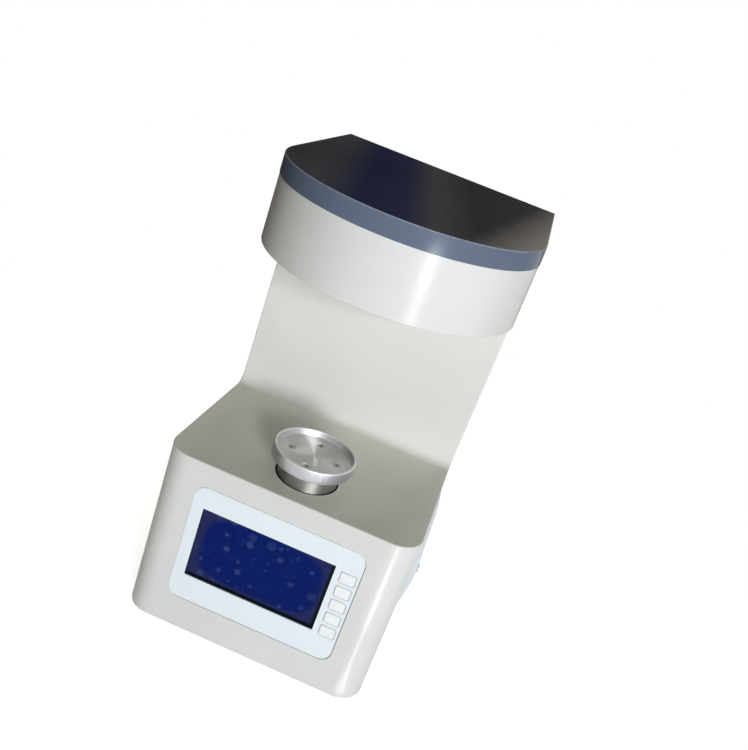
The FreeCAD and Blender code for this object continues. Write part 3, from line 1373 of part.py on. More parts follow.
def printer_works():
    """Tub behind the bezel with the print head, the platen and the loose paper roll."""
    gap, wall, depth = size.tub_gap, size.tub_wall, size.tub_depth
    front, low = HOLE_FRONT + gap, HOLE_LOW + gap
    length, height = HOLE_LENGTH - 2 * gap, HOLE_HEIGHT - 2 * gap
    inside = HALF_WIDTH - depth
    case = box("tub_case", inside, front, low, depth, length, height)
    hollow = box("tub_hollow", inside + wall, front + wall, low + wall, depth, length - 2 * wall,
                 height - 2 * wall)
    piece(cut("printer_tub", case, hollow), "printer_tub")

    middle = DOOR_FRONT + size.door_length / 2
    axis = (HALF_WIDTH - size.platen_behind_face, low + height - size.platen_below_top)
    span, cheek = size.roll_length + 2 * size.roll_side_gap, size.platen_cheek
    back = axis[0] - size.platen_cheek_back
    cheeks = []
    for number, start in enumerate((middle - span / 2 - cheek, middle + span / 2)):
        blank = box(f"cheek_{number}_blank", back, start, axis[1] - size.platen_cheek_drop,
                    size.platen_cheek_length, cheek, size.platen_below_top - wall + size.platen_cheek_drop)
        hole = rod(f"cheek_{number}_hole", "y", start, axis, size.platen_shaft_radius + size.running_gap,
                   cheek)
        cheeks.append(cut(f"cheek_{number}", blank, hole))
    head = box("head_block", back, middle - span / 2, axis[1] - size.print_head_height / 2,
               size.platen_cheek_back - size.platen_radius - size.print_head_gap, span,
               size.print_head_height)
    piece(fuse("print_head", head, *cheeks), "print_head")

    roll_start = middle - size.roll_length / 2
    rubber = rod("platen_rubber", "y", roll_start, axis, size.platen_radius, size.roll_length)
    shaft = rod("platen_shaft", "y", middle - span / 2 - cheek, axis, size.platen_shaft_radius,
                span + 2 * cheek)
    piece(fuse("platen_roller", rubber, shaft), "platen_roller")
    roll_axis = (inside + wall + size.roll_radius + size.roll_back_gap,
                 low + wall + size.roll_radius + size.roll_gap)
    roll = tube("paper_roll", "y", roll_start, roll_axis, size.roll_radius, size.roll_core_radius,
                size.roll_length)
    piece(roll, "paper_roll")


# ----------------------------------------------------------------------------------- balance
PIVOT_Y = DISH_Y + size.pivot_setback
PIVOT_Z = HEAD_INSIDE + size.bracket_thickness + size.pivot_rise
COIL_Y = PIVOT_Y + size.coil_setback
CHEEK_INNER = size.beam_width / 2 + size.cheek_gap


def balance_bracket():
    """Plate on the head's floor with two cheeks that carry the beam's pivot."""
    base = box("bracket_base", -size.bracket_width / 2, DISH_Y + size.bracket_setback, HEAD_INSIDE,
               size.bracket_width, size.bracket_length, size.bracket_thickness)
    deck = HEAD_INSIDE + size.bracket_thickness
    rise = size.pivot_rise + size.cheek_over_pivot
    cheeks = [box(f"bracket_cheek_{side}", left, PIVOT_Y - size.cheek_depth / 2, deck,
                  size.cheek_thickness, size.cheek_depth, rise)
              for side, left in (("left", -CHEEK_INNER - size.cheek_thickness), ("right", CHEEK_INNER))]
    outer = CHEEK_INNER + size.cheek_thickness
    axle_hole = rod("bracket_axle_hole", "x", -outer, (PIVOT_Y, PIVOT_Z), size.pivot_radius, 2 * outer)
    piece(cut("balance_bracket", fuse("bracket_blank", base, *cheeks), axle_hole), "balance_bracket")
    piece(rod("pivot_axle", "x", -outer, (PIVOT_Y, PIVOT_Z), size.pivot_radius, 2 * outer), "pivot_axle")


def balance_beam():
    """Beam on its pivot: the hook hangs in front and the coil sits behind."""
    front = DISH_Y - size.beam_over_hook
    length = COIL_Y + size.beam_over_hook - front
    bar = box("beam_bar", -size.beam_width / 2, front, PIVOT_Z - size.beam_height / 2,
              size.beam_width, length, size.beam_height)
    stem_low = PIVOT_Z - size.beam_height / 2 - size.coil_dip
    stem = rod("beam_stem", "z", stem_low, (0, COIL_Y), size.coil_stem_radius, size.coil_dip)
    bore = rod("beam_bore", "x", -size.beam_width / 2, (PIVOT_Y, PIVOT_Z),
               size.pivot_radius + size.running_gap, size.beam_width)
    hook_hole = rod("beam_hook_hole", "z", PIVOT_Z - size.beam_height / 2, (0, DISH_Y),
                    size.hook_radius, size.beam_height)
    piece(cut("balance_beam", fuse("beam_blank", bar, stem), bore, hook_hole), "balance_beam")

    coil_top = stem_low
    coil_disc = rod("coil_disc", "z", coil_top - size.coil_wall, (0, COIL_Y), size.coil_radius,
                    size.coil_wall)
    winding = tube("coil_winding", "z", coil_top - size.coil_height, (0, COIL_Y), size.coil_radius,
                   size.coil_radius - size.coil_wall, size.coil_height)
    piece(fuse("balance_coil", coil_disc, winding), "balance_coil")

    deck = HEAD_INSIDE + size.bracket_thickness
    gap = size.magnet_gap
    cup_radius = size.coil_radius + gap + size.magnet_wall
    cup_top = coil_top - size.coil_wall - gap
    cup = rod("magnet_cup_bar", "z", deck, (0, COIL_Y), cup_radius, cup_top - deck)
    trench_low = coil_top - size.coil_height - gap
    trench = tube("magnet_trench", "z", trench_low, (0, COIL_Y), size.coil_radius + gap,
                  size.coil_radius - size.coil_wall - gap, cup_top - trench_low)
    piece(cut("magnet_cup", cup, trench), "magnet_cup")


def hook_rod():
    """Thin rod from the beam down through the head's floor, bent up into an open hook."""
    radius, bend = size.hook_radius.number, size.hook_bend.number
    y = DISH_Y.number
    top = (PIVOT_Z + size.beam_height / 2).number
    low = (HEAD_FLOOR - size.hook_drop + size.hook_bend).number
    down = Part.LineSegment(Vector(0, y, top), Vector(0, y, low))
    turn = Part.Arc(Vector(0, y, low), Vector(0, y + bend, low - bend), Vector(0, y + 2 * bend, low))
    path = Part.Wire([down.toShape(), turn.toShape()])
    section = Part.Wire([Part.Circle(Vector(0, y, top), AXES["z"], radius).toShape()])
    hook = doc.addObject("Part::Feature", "hook_rod")
    hook.Shape = path.makePipeShell([section], True, False)
    piece(hook, "hook_rod")


def hook_guard():
    """Flanged sleeve in the head's floor, round the hook rod."""
    bore = size.hook_hole_radius - size.guard_wall
    sleeve = rod("guard_sleeve", "z", HEAD_FLOOR - size.guard_drop, (0, DISH_Y), size.hook_hole_radius,
                 size.guard_drop + size.wall)
    flange = rod("guard_flange", "z", HEAD_FLOOR - size.guard_flange_thickness, (0, DISH_Y),
                 size.guard_flange, size.guard_flange_thickness)
    hole = rod("guard_hole", "z", HEAD_FLOOR - size.guard_drop, (0, DISH_Y), bore,
               size.guard_drop + size.wall)
    piece(cut("hook_guard", fuse("guard_blank", sleeve, flange), hole), "hook_guard")


def sensor_board():
    """Amplifier board for the balance, on four legs beside the bracket."""
    left = size.bracket_width / 2 + size.sensor_board_gap
    front = PIVOT_Y + size.sensor_board_setback
    inset = size.standoff_inset
    corners = [(x, y) for x in (left + inset, left + size.sensor_board_width - inset)
               for y in (front + inset, front + size.sensor_board_depth - inset)]
    legs = [rod(f"sensor_leg_{number}", "z", HEAD_INSIDE, place, size.standoff_radius, size.standoff_height)
            for number, place in enumerate(corners)]
    sheet_low = HEAD_INSIDE + size.standoff_height
    sheet = box("sensor_sheet", left, front, sheet_low, size.sensor_board_width, size.sensor_board_depth,
                size.board_thickness)
    can = box("sensor_can", left + size.sensor_can_inset, front + size.sensor_can_inset,
              sheet_low + size.board_thickness,
              size.sensor_can_width, size.sensor_can_depth, size.sensor_can_height)
    piece(fuse("sensor_board", sheet, can, *legs), "sensor_board")


# ------------------------------------------------------------------------------------- build
def build():
    main_housing()
    bottom_plate()
    feet()
    head_shell()
    head_lid()
    head_fasteners()
    face_plate("front_overlay", size.overlay_proud, size.overlay_thickness)
    face_plate("membrane_circuit", size.overlay_proud - size.overlay_thickness, size.membrane_thickness)
    keys()
    display()
    sample_dish()
    platform_post()
    lift_carriage()
    lift_frame()
    motor_and_switch()
    lead_screw()
    electronics()
    rear_panel()
    power_inlet()
    power_switch()
    fuse_holder()
    serial_port()
    cover = printer_cover()
    printer_bezel(cover)
    feed_button()
    printer_door(cover)
    printer_works()
    balance_bracket()
    balance_beam()
    hook_rod()
    hook_guard()
    sensor_board()
    doc.recompute()


def check():
    """Stop if any object failed, any shape is broken, or a pocket cut nothing."""
    faults = [f"{thing.Label} failed: {thing.State}" for thing in doc.Objects
              if {"Invalid", "Error"} & set(thing.State)]
    if not faults:
        faults += [f"{thing.Label} cuts nothing" for thing in doc.Objects
                   if thing.TypeId == "PartDesign::Pocket"
                   and thing.Shape.Volume > thing.BaseFeature.Shape.Volume - NEAR]
        faults += [f"{thing.Label} has no sound shape" for thing in pieces
                   if thing.Shape.isNull() or not thing.Shape.isValid() or not thing.Shape.Solids]
    if faults:
        raise RuntimeError("; ".join(faults))


build()
check()
os.makedirs("parts", exist_ok=True)
for thing in pieces:
    thing.Shape.exportStep(f"parts/{thing.Label}.step")
print(len(pieces), "pieces written")
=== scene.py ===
"""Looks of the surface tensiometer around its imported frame.

Every place is worked out from the frame's own pieces (box, low and high corners, in metres),
so each new piece lies where its node lies.
"""
import json
from math import cos, pi, radians, sin, sqrt

import bmesh
import bpy
from mathutils import Matrix, Vector

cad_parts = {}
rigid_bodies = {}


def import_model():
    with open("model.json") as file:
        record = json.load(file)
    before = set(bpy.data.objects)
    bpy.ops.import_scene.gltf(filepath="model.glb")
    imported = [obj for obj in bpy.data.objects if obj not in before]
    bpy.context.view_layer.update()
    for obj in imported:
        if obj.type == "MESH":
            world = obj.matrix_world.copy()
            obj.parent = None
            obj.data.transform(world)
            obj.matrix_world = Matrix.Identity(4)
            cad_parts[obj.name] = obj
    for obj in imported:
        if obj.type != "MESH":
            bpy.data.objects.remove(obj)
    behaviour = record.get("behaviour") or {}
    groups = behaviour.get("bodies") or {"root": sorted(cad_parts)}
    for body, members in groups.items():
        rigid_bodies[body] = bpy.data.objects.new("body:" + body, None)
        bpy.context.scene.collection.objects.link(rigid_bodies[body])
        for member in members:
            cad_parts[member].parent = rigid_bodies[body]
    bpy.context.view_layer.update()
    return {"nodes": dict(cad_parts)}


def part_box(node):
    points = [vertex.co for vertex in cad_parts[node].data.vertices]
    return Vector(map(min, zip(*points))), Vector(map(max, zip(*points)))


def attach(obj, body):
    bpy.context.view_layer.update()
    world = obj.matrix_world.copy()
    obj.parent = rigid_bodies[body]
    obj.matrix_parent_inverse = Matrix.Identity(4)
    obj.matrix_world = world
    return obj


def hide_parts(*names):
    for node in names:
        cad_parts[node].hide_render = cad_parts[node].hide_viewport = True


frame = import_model()
MM = 0.001
DISH_LOW, DISH_HIGH = (Vector(corner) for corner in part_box("sample_dish"))
DISH_AXIS = (DISH_LOW + DISH_HIGH) / 2
OVERLAY_LOW, OVERLAY_HIGH = (Vector(corner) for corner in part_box("front_overlay"))
SCREEN_LOW, SCREEN_HIGH = (Vector(corner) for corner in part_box("display_panel"))
LID_LOW, LID_HIGH = (Vector(corner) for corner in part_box("head_lid"))
LID_MIDDLE = (LID_LOW + LID_HIGH) / 2
LID_SPAN = LID_HIGH - LID_LOW

# Degrees between two faces above which the edge between them is sharp.
SHARP = 35

# Front panel: the line printed round each key, and a dark ring behind the overlay that shows beside it as a
# painted shadow line.
KEY_COUNT = 5
KEY_LINE = 0.6 * MM
OVERLAY_ROUND, ROUND_STEPS = 10 * MM, 10
SHADOW_LINE_WIDTH, SHADOW_LINE_DEPTH, SHADOW_LINE_SET_IN, SHADOW_LINE_SHIFT = 2 * MM, 0.3 * MM, 0.25 * MM, 0.8 * MM

# Dish on its post: a height between its underside and its floor, the round of its edges, how far it stands
# above the base's top, and the black ring that fills the gap round the post as painted shade.
DISH_SOLE, DISH_EDGE, DISH_RAISED = 4 * MM, 0.2 * MM, 14.2 * MM
BASE_TOP = DISH_LOW.z - DISH_RAISED
GAP_RING_CLEARANCE, GAP_RING_WIDTH, GAP_RING_DEPTH, GAP_RING_SUNK = 0.1 * MM, 1.35 * MM, 1.2 * MM, 0.15 * MM
GAP_RING_SIDES = 96

# Screws: the round of a head, and the cross recess in it.
HEAD_ROUND = 0.5 * MM
RECESS_DEPTH, RECESS_REACH, RECESS_SLOT = 1.2 * MM, 2.2 * MM, 0.55 * MM

# Mains inlet: its three pins, the middle one higher, each within PIN_WIDTH and PIN_HEIGHT of its
# middle, and the round of its edges.
PIN_PITCH, PIN_RAISED, PIN_LOWERED, PIN_WIDTH, PIN_HEIGHT = 7 * MM, 2 * MM, -2 * MM, 1.1 * MM, 2.1 * MM
INLET_EDGE = 0.3 * MM

# Fuse cap: the knurl round its rim, and the round of its edges.
KNURL_COUNT, KNURL_LENGTH, KNURL_RADIUS = 28, 2 * MM, 0.6 * MM
FUSE_EDGE = 0.35 * MM

# Data socket: how far its shell stands proud of its flange, its black insert, and two hexagonal
# jack posts. They take the place of plain square ones, which are cut away down to JACK_SINK above
# the flange, JACK_ROOM times as wide as a post.
SHELL_PROUD, SHELL_EDGE = 2.2 * MM, 0.12 * MM
INSERT_WIDTH, INSERT_HEIGHT = 14.1 * MM, 5.7 * MM
JACK_SPACING, JACK_ACROSS, JACK_HEIGHT, JACK_BORE = 24.8 * MM, 4.8 * MM, 2 * MM, 1.3 * MM
JACK_SINK, JACK_EDGE, JACK_ROOM = 0.02 * MM, 0.25 * MM, 1.25

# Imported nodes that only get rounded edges: node, new piece, width in millimetres, body.
DRESSED = [
    ("printer_bezel", "printer_surround", 0.5, "housing"),
    ("printer_door", "paper_door_cover", 0.4, "paper_door"),
    ("feed_button", "feed_key_cap", 0.3, "feed_key"),
    ("switch_frame", "rocker_surround", 0.3, "housing"),
    ("power_rocker", "rocker_cap", 0.4, "switch_rocker"),
    ("rear_panel", "rear_sheet", 0.3, "housing"),
    ("rubber_feet", "foot_pads", 0.7, "housing"),
]


# ------------------------------------------------------------------------------ modelling aids
def only(thing):
    """Selects one object alone and makes it the active one."""
    bpy.ops.object.select_all(action="DESELECT")
    thing.select_set(True)
    bpy.context.view_layer.objects.active = thing


def begin_edit(thing, kind="FACE"):
    """Opens a mesh for editing with nothing selected."""
    only(thing)
    bpy.ops.object.mode_set(mode="EDIT")
    bpy.ops.mesh.select_mode(type=kind)
    bpy.ops.mesh.select_all(action="DESELECT")


def end_edit():
    bpy.ops.object.mode_set(mode="OBJECT")


def pick(thing, wanted):
    """Selects the faces of the open mesh that wanted() accepts, and no others."""
    bpy.ops.mesh.select_mode(type="FACE")
    bpy.ops.mesh.select_all(action="DESELECT")
    mesh = bmesh.from_edit_mesh(thing.data)
    for face in mesh.faces:
        if wanted(face):
            face.select_set(True)
    bmesh.update_edit_mesh(thing.data)


def paint_picked(thing, slot):
    """Gives the open mesh's selected faces the finish in a slot."""
    thing.active_material_index = slot
    bpy.ops.object.material_slot_assign()


def assign(thing, slot, wanted):
    """Gives the open mesh's faces that wanted() accepts the finish in a slot."""
    pick(thing, wanted)
    paint_picked(thing, slot)


def extrude(shift):
    """Extrudes everything in the open mesh by a shift, and turns all faces outward."""
    bpy.ops.mesh.select_all(action="SELECT")
    bpy.ops.mesh.extrude_region_move(TRANSFORM_OT_translate={"value": shift})
    bpy.ops.mesh.select_all(action="SELECT")
    bpy.ops.mesh.normals_make_consistent(inside=False)


def primitive(shape, name, turn=(0, 0, 0), place=(0, 0, 0), stretch=(1, 1, 1), **settings):
    """A new primitive by itself, with its size, turn and place in its mesh."""
    bpy.ops.object.select_all(action="DESELECT")
    getattr(bpy.ops.mesh, f"primitive_{shape}_add")(**settings)
    thing = bpy.context.object
    thing.name = thing.data.name = name
    return settle(thing, turn, place, stretch)


def settle(thing, turn=(0, 0, 0), place=(0, 0, 0), stretch=(1, 1, 1)):
    """Scales, turns and moves an object, all within its mesh."""
    only(thing)
    thing.scale, thing.rotation_euler, thing.location = stretch, turn, place
    bpy.ops.object.transform_apply(location=True, rotation=True, scale=True)
    return thing


def change(thing, kind, **settings):
    """Applies a modifier with these settings."""
    only(thing)
    modifier = thing.modifiers.new(kind.lower(), kind)
    for name, setting in settings.items():
        setattr(modifier, name, setting)
    bpy.ops.object.modifier_apply(modifier=modifier.name)


def carve(thing, tool):
    """Cuts one closed piece out of another, and removes the tool."""
    change(thing, "BOOLEAN", operation="DIFFERENCE", solver="EXACT", object=tool)
    bpy.data.objects.remove(tool)


def smooth(thing, angle=SHARP):
    """Shades a piece smooth, apart from the edges that are sharper than an angle."""
    only(thing)
    bpy.ops.object.shade_smooth_by_angle(angle=radians(angle))
    return thing


def soften_edges(thing, width, segments=2):
    """Rounds each sharp edge."""
    change(thing, "BEVEL", width=width, segments=segments, limit_method="ANGLE", angle_limit=radians(SHARP))
    return smooth(thing)


def join(name, *things):
    """Several finished meshes as one piece."""
    only(things[0])
    for thing in things:
        thing.select_set(True)
    bpy.ops.object.join()
    things[0].name = things[0].data.name = name
    return things[0]


def solids_of(node):
    """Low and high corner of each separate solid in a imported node."""
    shell = bmesh.new()
    shell.from_mesh(frame["nodes"][node].data)
    bmesh.ops.remove_doubles(shell, verts=shell.verts, dist=MM / 1000)
    waiting, corners = set(shell.verts), []
    while waiting:
        growing = [waiting.pop()]
        island = []
        while growing:
            corner = growing.pop()
            island.append(corner.co.copy())
            beside = {edge.other_vert(corner) for edge in corner.link_edges} & waiting
            waiting -= beside
            growing.extend(beside)
        corners.append((Vector(map(min, zip(*island))), Vector(map(max, zip(*island)))))
    shell.free()
    return sorted(corners, key=lambda pair: tuple(round(part, 5) for part in pair[0]))


# ------------------------------------------------------------------------------ material aids
def shader_of(finish):
    return finish.node_tree.nodes["Principled BSDF"]


def new_finish(name, colour, roughness, **sockets):
    """A material whose shader starts from these plain values."""
    finish = bpy.data.materials.new(name)
    finish.use_nodes = True
    shader = shader_of(finish)
    shader.inputs["Base Color"].default_value = (*colour, 1)
    shader.inputs["Roughness"].default_value = roughness
    for socket, setting in sockets.items():
        shader.inputs[socket.replace("_", " ")].default_value = setting
    finish.diffuse_color = (*colour, 1)
    return finish


def add(finish, kind, links=(), **settings):
    """Adds a node, sets its options and sockets by name, and links sockets into it."""
    node = finish.node_tree.nodes.new(kind)
    for name, setting in settings.items():
        if hasattr(node, name):
            setattr(node, name, setting)
        else:
            node.inputs[name.replace("_", " ")].default_value = setting
    for place, socket in links:
        finish.node_tree.links.new(socket, node.inputs[place])
    return node


def reckon(finish, kind, operation, terms, **settings):
    """A maths node of some kind, whose terms are sockets or plain values."""
    node = add(finish, kind, operation=operation, **settings)
    for place, term in enumerate(terms):
        if isinstance(term, bpy.types.NodeSocket):
            finish.node_tree.links.new(term, node.inputs[place])
        else:
            node.inputs[place].default_value = term
    return node


def scalar(finish, operation, *terms, **settings):
    """The number that a maths node makes of its terms."""
    return reckon(finish, "ShaderNodeMath", operation, terms, **settings).outputs[0]


def vector(finish, operation, *terms):
    """The vector that a maths node makes of its terms."""
    return reckon(finish, "ShaderNodeVectorMath", operation, terms).outputs[0]


def length_of(finish, arrow):
    return reckon(finish, "ShaderNodeVectorMath", "LENGTH", [arrow]).outputs["Value"]


def parts_of(finish, arrow):
    """The X, Y and Z of a vector, as sockets."""
    return add(finish, "ShaderNodeSeparateXYZ", [(0, arrow)]).outputs


def feed(finish, socket, name):
    """Links a socket into the finish's shader."""
    finish.node_tree.links.new(socket, shader_of(finish).inputs[name])


def object_place(finish, scale=(1, 1, 1), middle=(0, 0, 0)):
    """Object coordinates in metres, taken from middle and stretched by scale."""
    place = add(finish, "ShaderNodeTexCoord").outputs["Object"]
    return vector(finish, "MULTIPLY", vector(finish, "SUBTRACT", place, middle), scale)


def blotches(finish, size, detail=2.0, scale=(1, 1, 1)):
    """Soft noise whose patches are about size metres across."""
    noise = add(finish, "ShaderNodeTexNoise", [("Vector", object_place(finish, scale))],
                Scale=1 / size, Detail=detail, Roughness=0.55)
    return noise.outputs["Fac"]


def remap(finish, socket, low, high, start=0.0, end=1.0):
    """A socket's range from low to high, stretched to run from start to end."""
    node = add(finish, "ShaderNodeMapRange", [("Value", socket)], From_Min=low, From_Max=high,
               To_Min=start, To_Max=end)
    return node.outputs["Result"]


def spread(finish, noise, start=0.0, end=1.0):
    """Noise, which keeps mostly between 0.3 and 0.7, stretched to run from start to end."""
    return remap(finish, noise, 0.3, 0.7, start, end)


def ramp(finish, share, stops):
    """A colour that runs through several stops, each a share and its colour."""
    scale = add(finish, "ShaderNodeValToRGB", [("Fac", share)])
    ends = scale.color_ramp.elements
    for stop, (place, colour) in enumerate(stops):
        element = ends[0] if stop == 0 else ends[-1] if stop == len(stops) - 1 else ends.new(place)
        element.position, element.color = place, (*colour, 1)
    return scale.outputs["Color"]


def blend_colours(finish, share, first, second):
    """A colour that runs from the first to the second as the share goes from 0 to 1."""
    return ramp(finish, share, [(0.0, first), (1.0, second)])


def lay_over(finish, share, under, colour, blend="MIX"):
    """A colour socket with a share of a plain colour laid over it."""
    mixed = add(finish, "ShaderNodeMix", data_type="RGBA", blend_type=blend)
    finish.node_tree.links.new(share, mixed.inputs[0])
    finish.node_tree.links.new(under, mixed.inputs[6])
    mixed.inputs[7].default_value = (*colour, 1)
    return mixed.outputs[2]


def vary_colour(finish, share, first, second):
    feed(finish, blend_colours(finish, share, first, second), "Base Color")


def vary_gloss(finish, noise, least, most):
    feed(finish, spread(finish, noise, least, most), "Roughness")


def raise_grain(finish, height, depth):
    """Bump whose full height is depth metres."""
    bump = add(finish, "ShaderNodeBump", [("Height", height)], Strength=1.0, Distance=depth)
    feed(finish, bump.outputs["Normal"], "Normal")


def shade(colour, factor):
    return tuple(min(part * factor, 1) for part in colour)


def face_normal(finish):
    return add(finish, "ShaderNodeNewGeometry").outputs["Normal"]


# -------------------------------------------------------------------------------- finishes
CREAM = (0.78, 0.785, 0.76)
SLATE = (0.134, 0.168, 0.242)
PALE_BLUE = (0.885, 0.95, 1.0)

# A warm, slightly darker painted shade on enamel faces that look upward, and how far upward a face looks
# where it starts and is full.
TOP_WARM_SHADE, TOP_SHADE_START, TOP_SHADE_FULL = (0.98, 0.965, 0.90), 0.6, 0.98

# Painted reflections on the lid's dark film: its tints from its left edge to its right one, along a line
# that leans a little, and a grey painted reflection in its front right corner.
LID_REFLECTION_TINTS = [(0.0, (0.105, 0.10, 0.115)), (0.12, (0.105, 0.107, 0.125)), (0.28, (0.036, 0.045, 0.11)),
             (0.43, (0.048, 0.055, 0.125)), (0.54, (0.125, 0.12, 0.13)), (0.7, (0.072, 0.072, 0.08)),
             (1.0, (0.085, 0.085, 0.092))]
LID_LEAN, LID_STREAK = 0.18, 0.03
LID_REFLECTED_GREY, GREY_REFLECTION_FORWARD, GREY_REFLECTION_START, GREY_REFLECTION_END = (0.5, 0.48, 0.45), -1.8, 0.33, 0.53

# The display: half the field's width and height as shares of the overlay's width, then where the
# field's edge fades, and the colours of border, field and spots.
FIELD_HALF_WIDTH, FIELD_HALF_HEIGHT, FIELD_POWER = 0.355, 0.205, 4
FIELD_FADE_START, FIELD_FADE_END = 1.15, 0.8
DISPLAY_BORDER, DISPLAY_FIELD = (0.034, 0.040, 0.15), (0.0055, 0.020, 0.19)
SPOT_COLOUR, SPOT_STRENGTH, SPOT_FAINTEST, SPOT_EDGE = (0.065, 0.115, 0.33), 0.65, 0.35, 0.06


def enamel(name, colour, roughness, peel=0.0015, depth=0.000006, **sockets):
    """Sprayed and baked enamel: a trace of orange peel, a tint that drifts a little, and a warm, slightly
    darker painted shade on faces that look upward."""
    finish = new_finish(name, colour, roughness, **sockets)
    drift = blend_colours(finish, spread(finish, blotches(finish, 0.07)), shade(colour, 0.975),
                          shade(colour, 1.02))
    # Painted shade: faces that look upward take a warm, slightly darker tint.
    top_shade = remap(finish, parts_of(finish, face_normal(finish))["Z"], TOP_SHADE_START, TOP_SHADE_FULL)
    feed(finish, lay_over(finish, top_shade, drift, TOP_WARM_SHADE, blend="MULTIPLY"), "Base Color")
    vary_gloss(finish, blotches(finish, 0.02, detail=4), roughness - 0.04, roughness + 0.05)
    raise_grain(finish, blotches(finish, peel), depth)
    return finish


def dark_film_with_painted_reflections(name):
    """Dark film on the lid with painted reflections: its tint drifts from navy on the left to smoke on the
    right, fine streaks run along it, and its front right corner has a grey painted reflection."""
    finish = new_finish(name, LID_REFLECTION_TINTS[2][1], 0.32, Specular_IOR_Level=0.0)
    place = object_place(finish, (1 / LID_SPAN.x, LID_LEAN / LID_SPAN.x, 0), LID_MIDDLE)
    rightward, backward = parts_of(finish, place)[:2]
    streaks = spread(finish, blotches(finish, 0.01, detail=4, scale=(1, 14, 1)), -LID_STREAK, LID_STREAK)
    drift = scalar(finish, "ADD", scalar(finish, "ADD", rightward, backward), streaks)
    # Painted reflections: the tints that drift across the lid.
    tint = ramp(finish, remap(finish, drift, -0.5, 0.5), LID_REFLECTION_TINTS)
    reach = scalar(finish, "ADD", drift, scalar(finish, "MULTIPLY", backward, GREY_REFLECTION_FORWARD))
    # Painted reflection: the share of grey over the front right corner.
    haze = remap(finish, reach, GREY_REFLECTION_START, GREY_REFLECTION_END)
    feed(finish, lay_over(finish, haze, tint, LID_REFLECTED_GREY), "Base Color")
    vary_gloss(finish, blotches(finish, 0.02, detail=4), 0.28, 0.4)
    return finish


def printed_film(name, colour):
    """Polyester overlay: a very fine etched grain under a soft gloss."""
    finish = new_finish(name, colour, 0.42, Specular_IOR_Level=0.35)
    vary_colour(finish, spread(finish, blotches(finish, 0.03)), shade(colour, 0.985), colour)
    vary_gloss(finish, blotches(finish, 0.004, detail=3), 0.36, 0.48)
    raise_grain(finish, blotches(finish, 0.00025), 0.000004)
    return finish


def clear_acrylic(name):
    """The window: nearly clear, with a faint haze of handling."""
    finish = new_finish(name, (0.01, 0.015, 0.05), 0.1, Alpha=0.1, Specular_IOR_Level=0.02)
    vary_gloss(finish, blotches(finish, 0.015, detail=3), 0.06, 0.2)
    return finish


def screen_spots(finish, spacing, largest, share):
    """Round pale spots of different sizes, on a share of the cells of a grid. A share above 1
    gives every cell a spot, and none of them is tiny."""
    place = parts_of(finish, object_place(finish))
    upright = add(finish, "ShaderNodeCombineXYZ", [("X", place["X"]), ("Y", place["Z"])]).outputs[0]
    cells = add(finish, "ShaderNodeTexVoronoi", [("Vector", upright)], voronoi_dimensions="2D",
                Scale=1 / spacing, Randomness=0.9)
    chance = add(finish, "ShaderNodeSeparateColor", [(0, cells.outputs["Color"])]).outputs
    radius = remap(finish, chance[0], 1 - share, 1.0, 0.0, largest / spacing)
    inside = scalar(finish, "SUBTRACT", radius, cells.outputs["Distance"])
    strength = remap(finish, chance[1], 0, 1, SPOT_FAINTEST, 1)
    return scalar(finish, "MULTIPLY", remap(finish, inside, 0.0, SPOT_EDGE), strength)


def blue_display(name):
    """Unlit liquid-crystal panel: a bluer rounded field in a greyer border, under faint spots."""
    finish = new_finish(name, (0.008, 0.014, 0.12), 0.35, Specular_IOR_Level=0.0)
    span = OVERLAY_HIGH.x - OVERLAY_LOW.x
    scale = (1 / (span * FIELD_HALF_WIDTH), 0, 1 / (span * FIELD_HALF_HEIGHT))
    away = parts_of(finish, object_place(finish, scale, (SCREEN_LOW + SCREEN_HIGH) / 2))
    raised = [scalar(finish, "POWER", scalar(finish, "ABSOLUTE", away[axis]), FIELD_POWER) for axis in "XZ"]
    field = remap(finish, scalar(finish, "ADD", *raised), FIELD_FADE_START, FIELD_FADE_END)
    base = blend_colours(finish, field, DISPLAY_BORDER, DISPLAY_FIELD)
    spots = scalar(finish, "ADD", screen_spots(finish, spacing=0.0145, largest=0.0046, share=1.2),
                   screen_spots(finish, spacing=0.0058, largest=0.0013, share=0.5))
    veil = remap(finish, spots, 0, 1, 0, SPOT_STRENGTH)
    feed(finish, lay_over(finish, veil, base, SPOT_COLOUR), "Base Color")
    return finish


def turned_metal(name, colour, roughness, axis, sheen, pitch=0.0004):
    """Turned on a lathe about an upright axis: fine rings, and a sheen that runs across them."""
    finish = new_finish(name, colour, roughness, Metallic=1.0, Anisotropic=sheen)
    away = object_place(finish, (1, 1, 0), axis)
    around = vector(finish, "CROSS_PRODUCT", (0, 0, 1), away)
    feed(finish, vector(finish, "CROSS_PRODUCT", face_normal(finish), around), "Tangent")
    along = scalar(finish, "ADD", length_of(finish, away), parts_of(finish, object_place(finish))["Z"])
    rings = add(finish, "ShaderNodeTexNoise", [("W", along)], noise_dimensions="1D", Scale=1 / pitch,
                Detail=3).outputs["Fac"]
    vary_gloss(finish, rings, roughness - 0.05, roughness + 0.08)
    vary_colour(finish, spread(finish, rings), shade(colour, 0.93), colour)
    raise_grain(finish, rings, 0.000003)
    return finish


def milled_metal(name, colour, roughness, scale=(1, 12, 12), depth=0.000004):
    """Metal with fine drawn or milled lines."""
    finish = new_finish(name, colour, roughness, Metallic=1.0)
    lines = blotches(finish, 0.004, detail=4, scale=scale)
    vary_colour(finish, spread(finish, lines), shade(colour, 0.9), shade(colour, 1.04))
    vary_gloss(finish, lines, roughness - 0.07, roughness + 0.08)
    raise_grain(finish, lines, depth)
    return finish


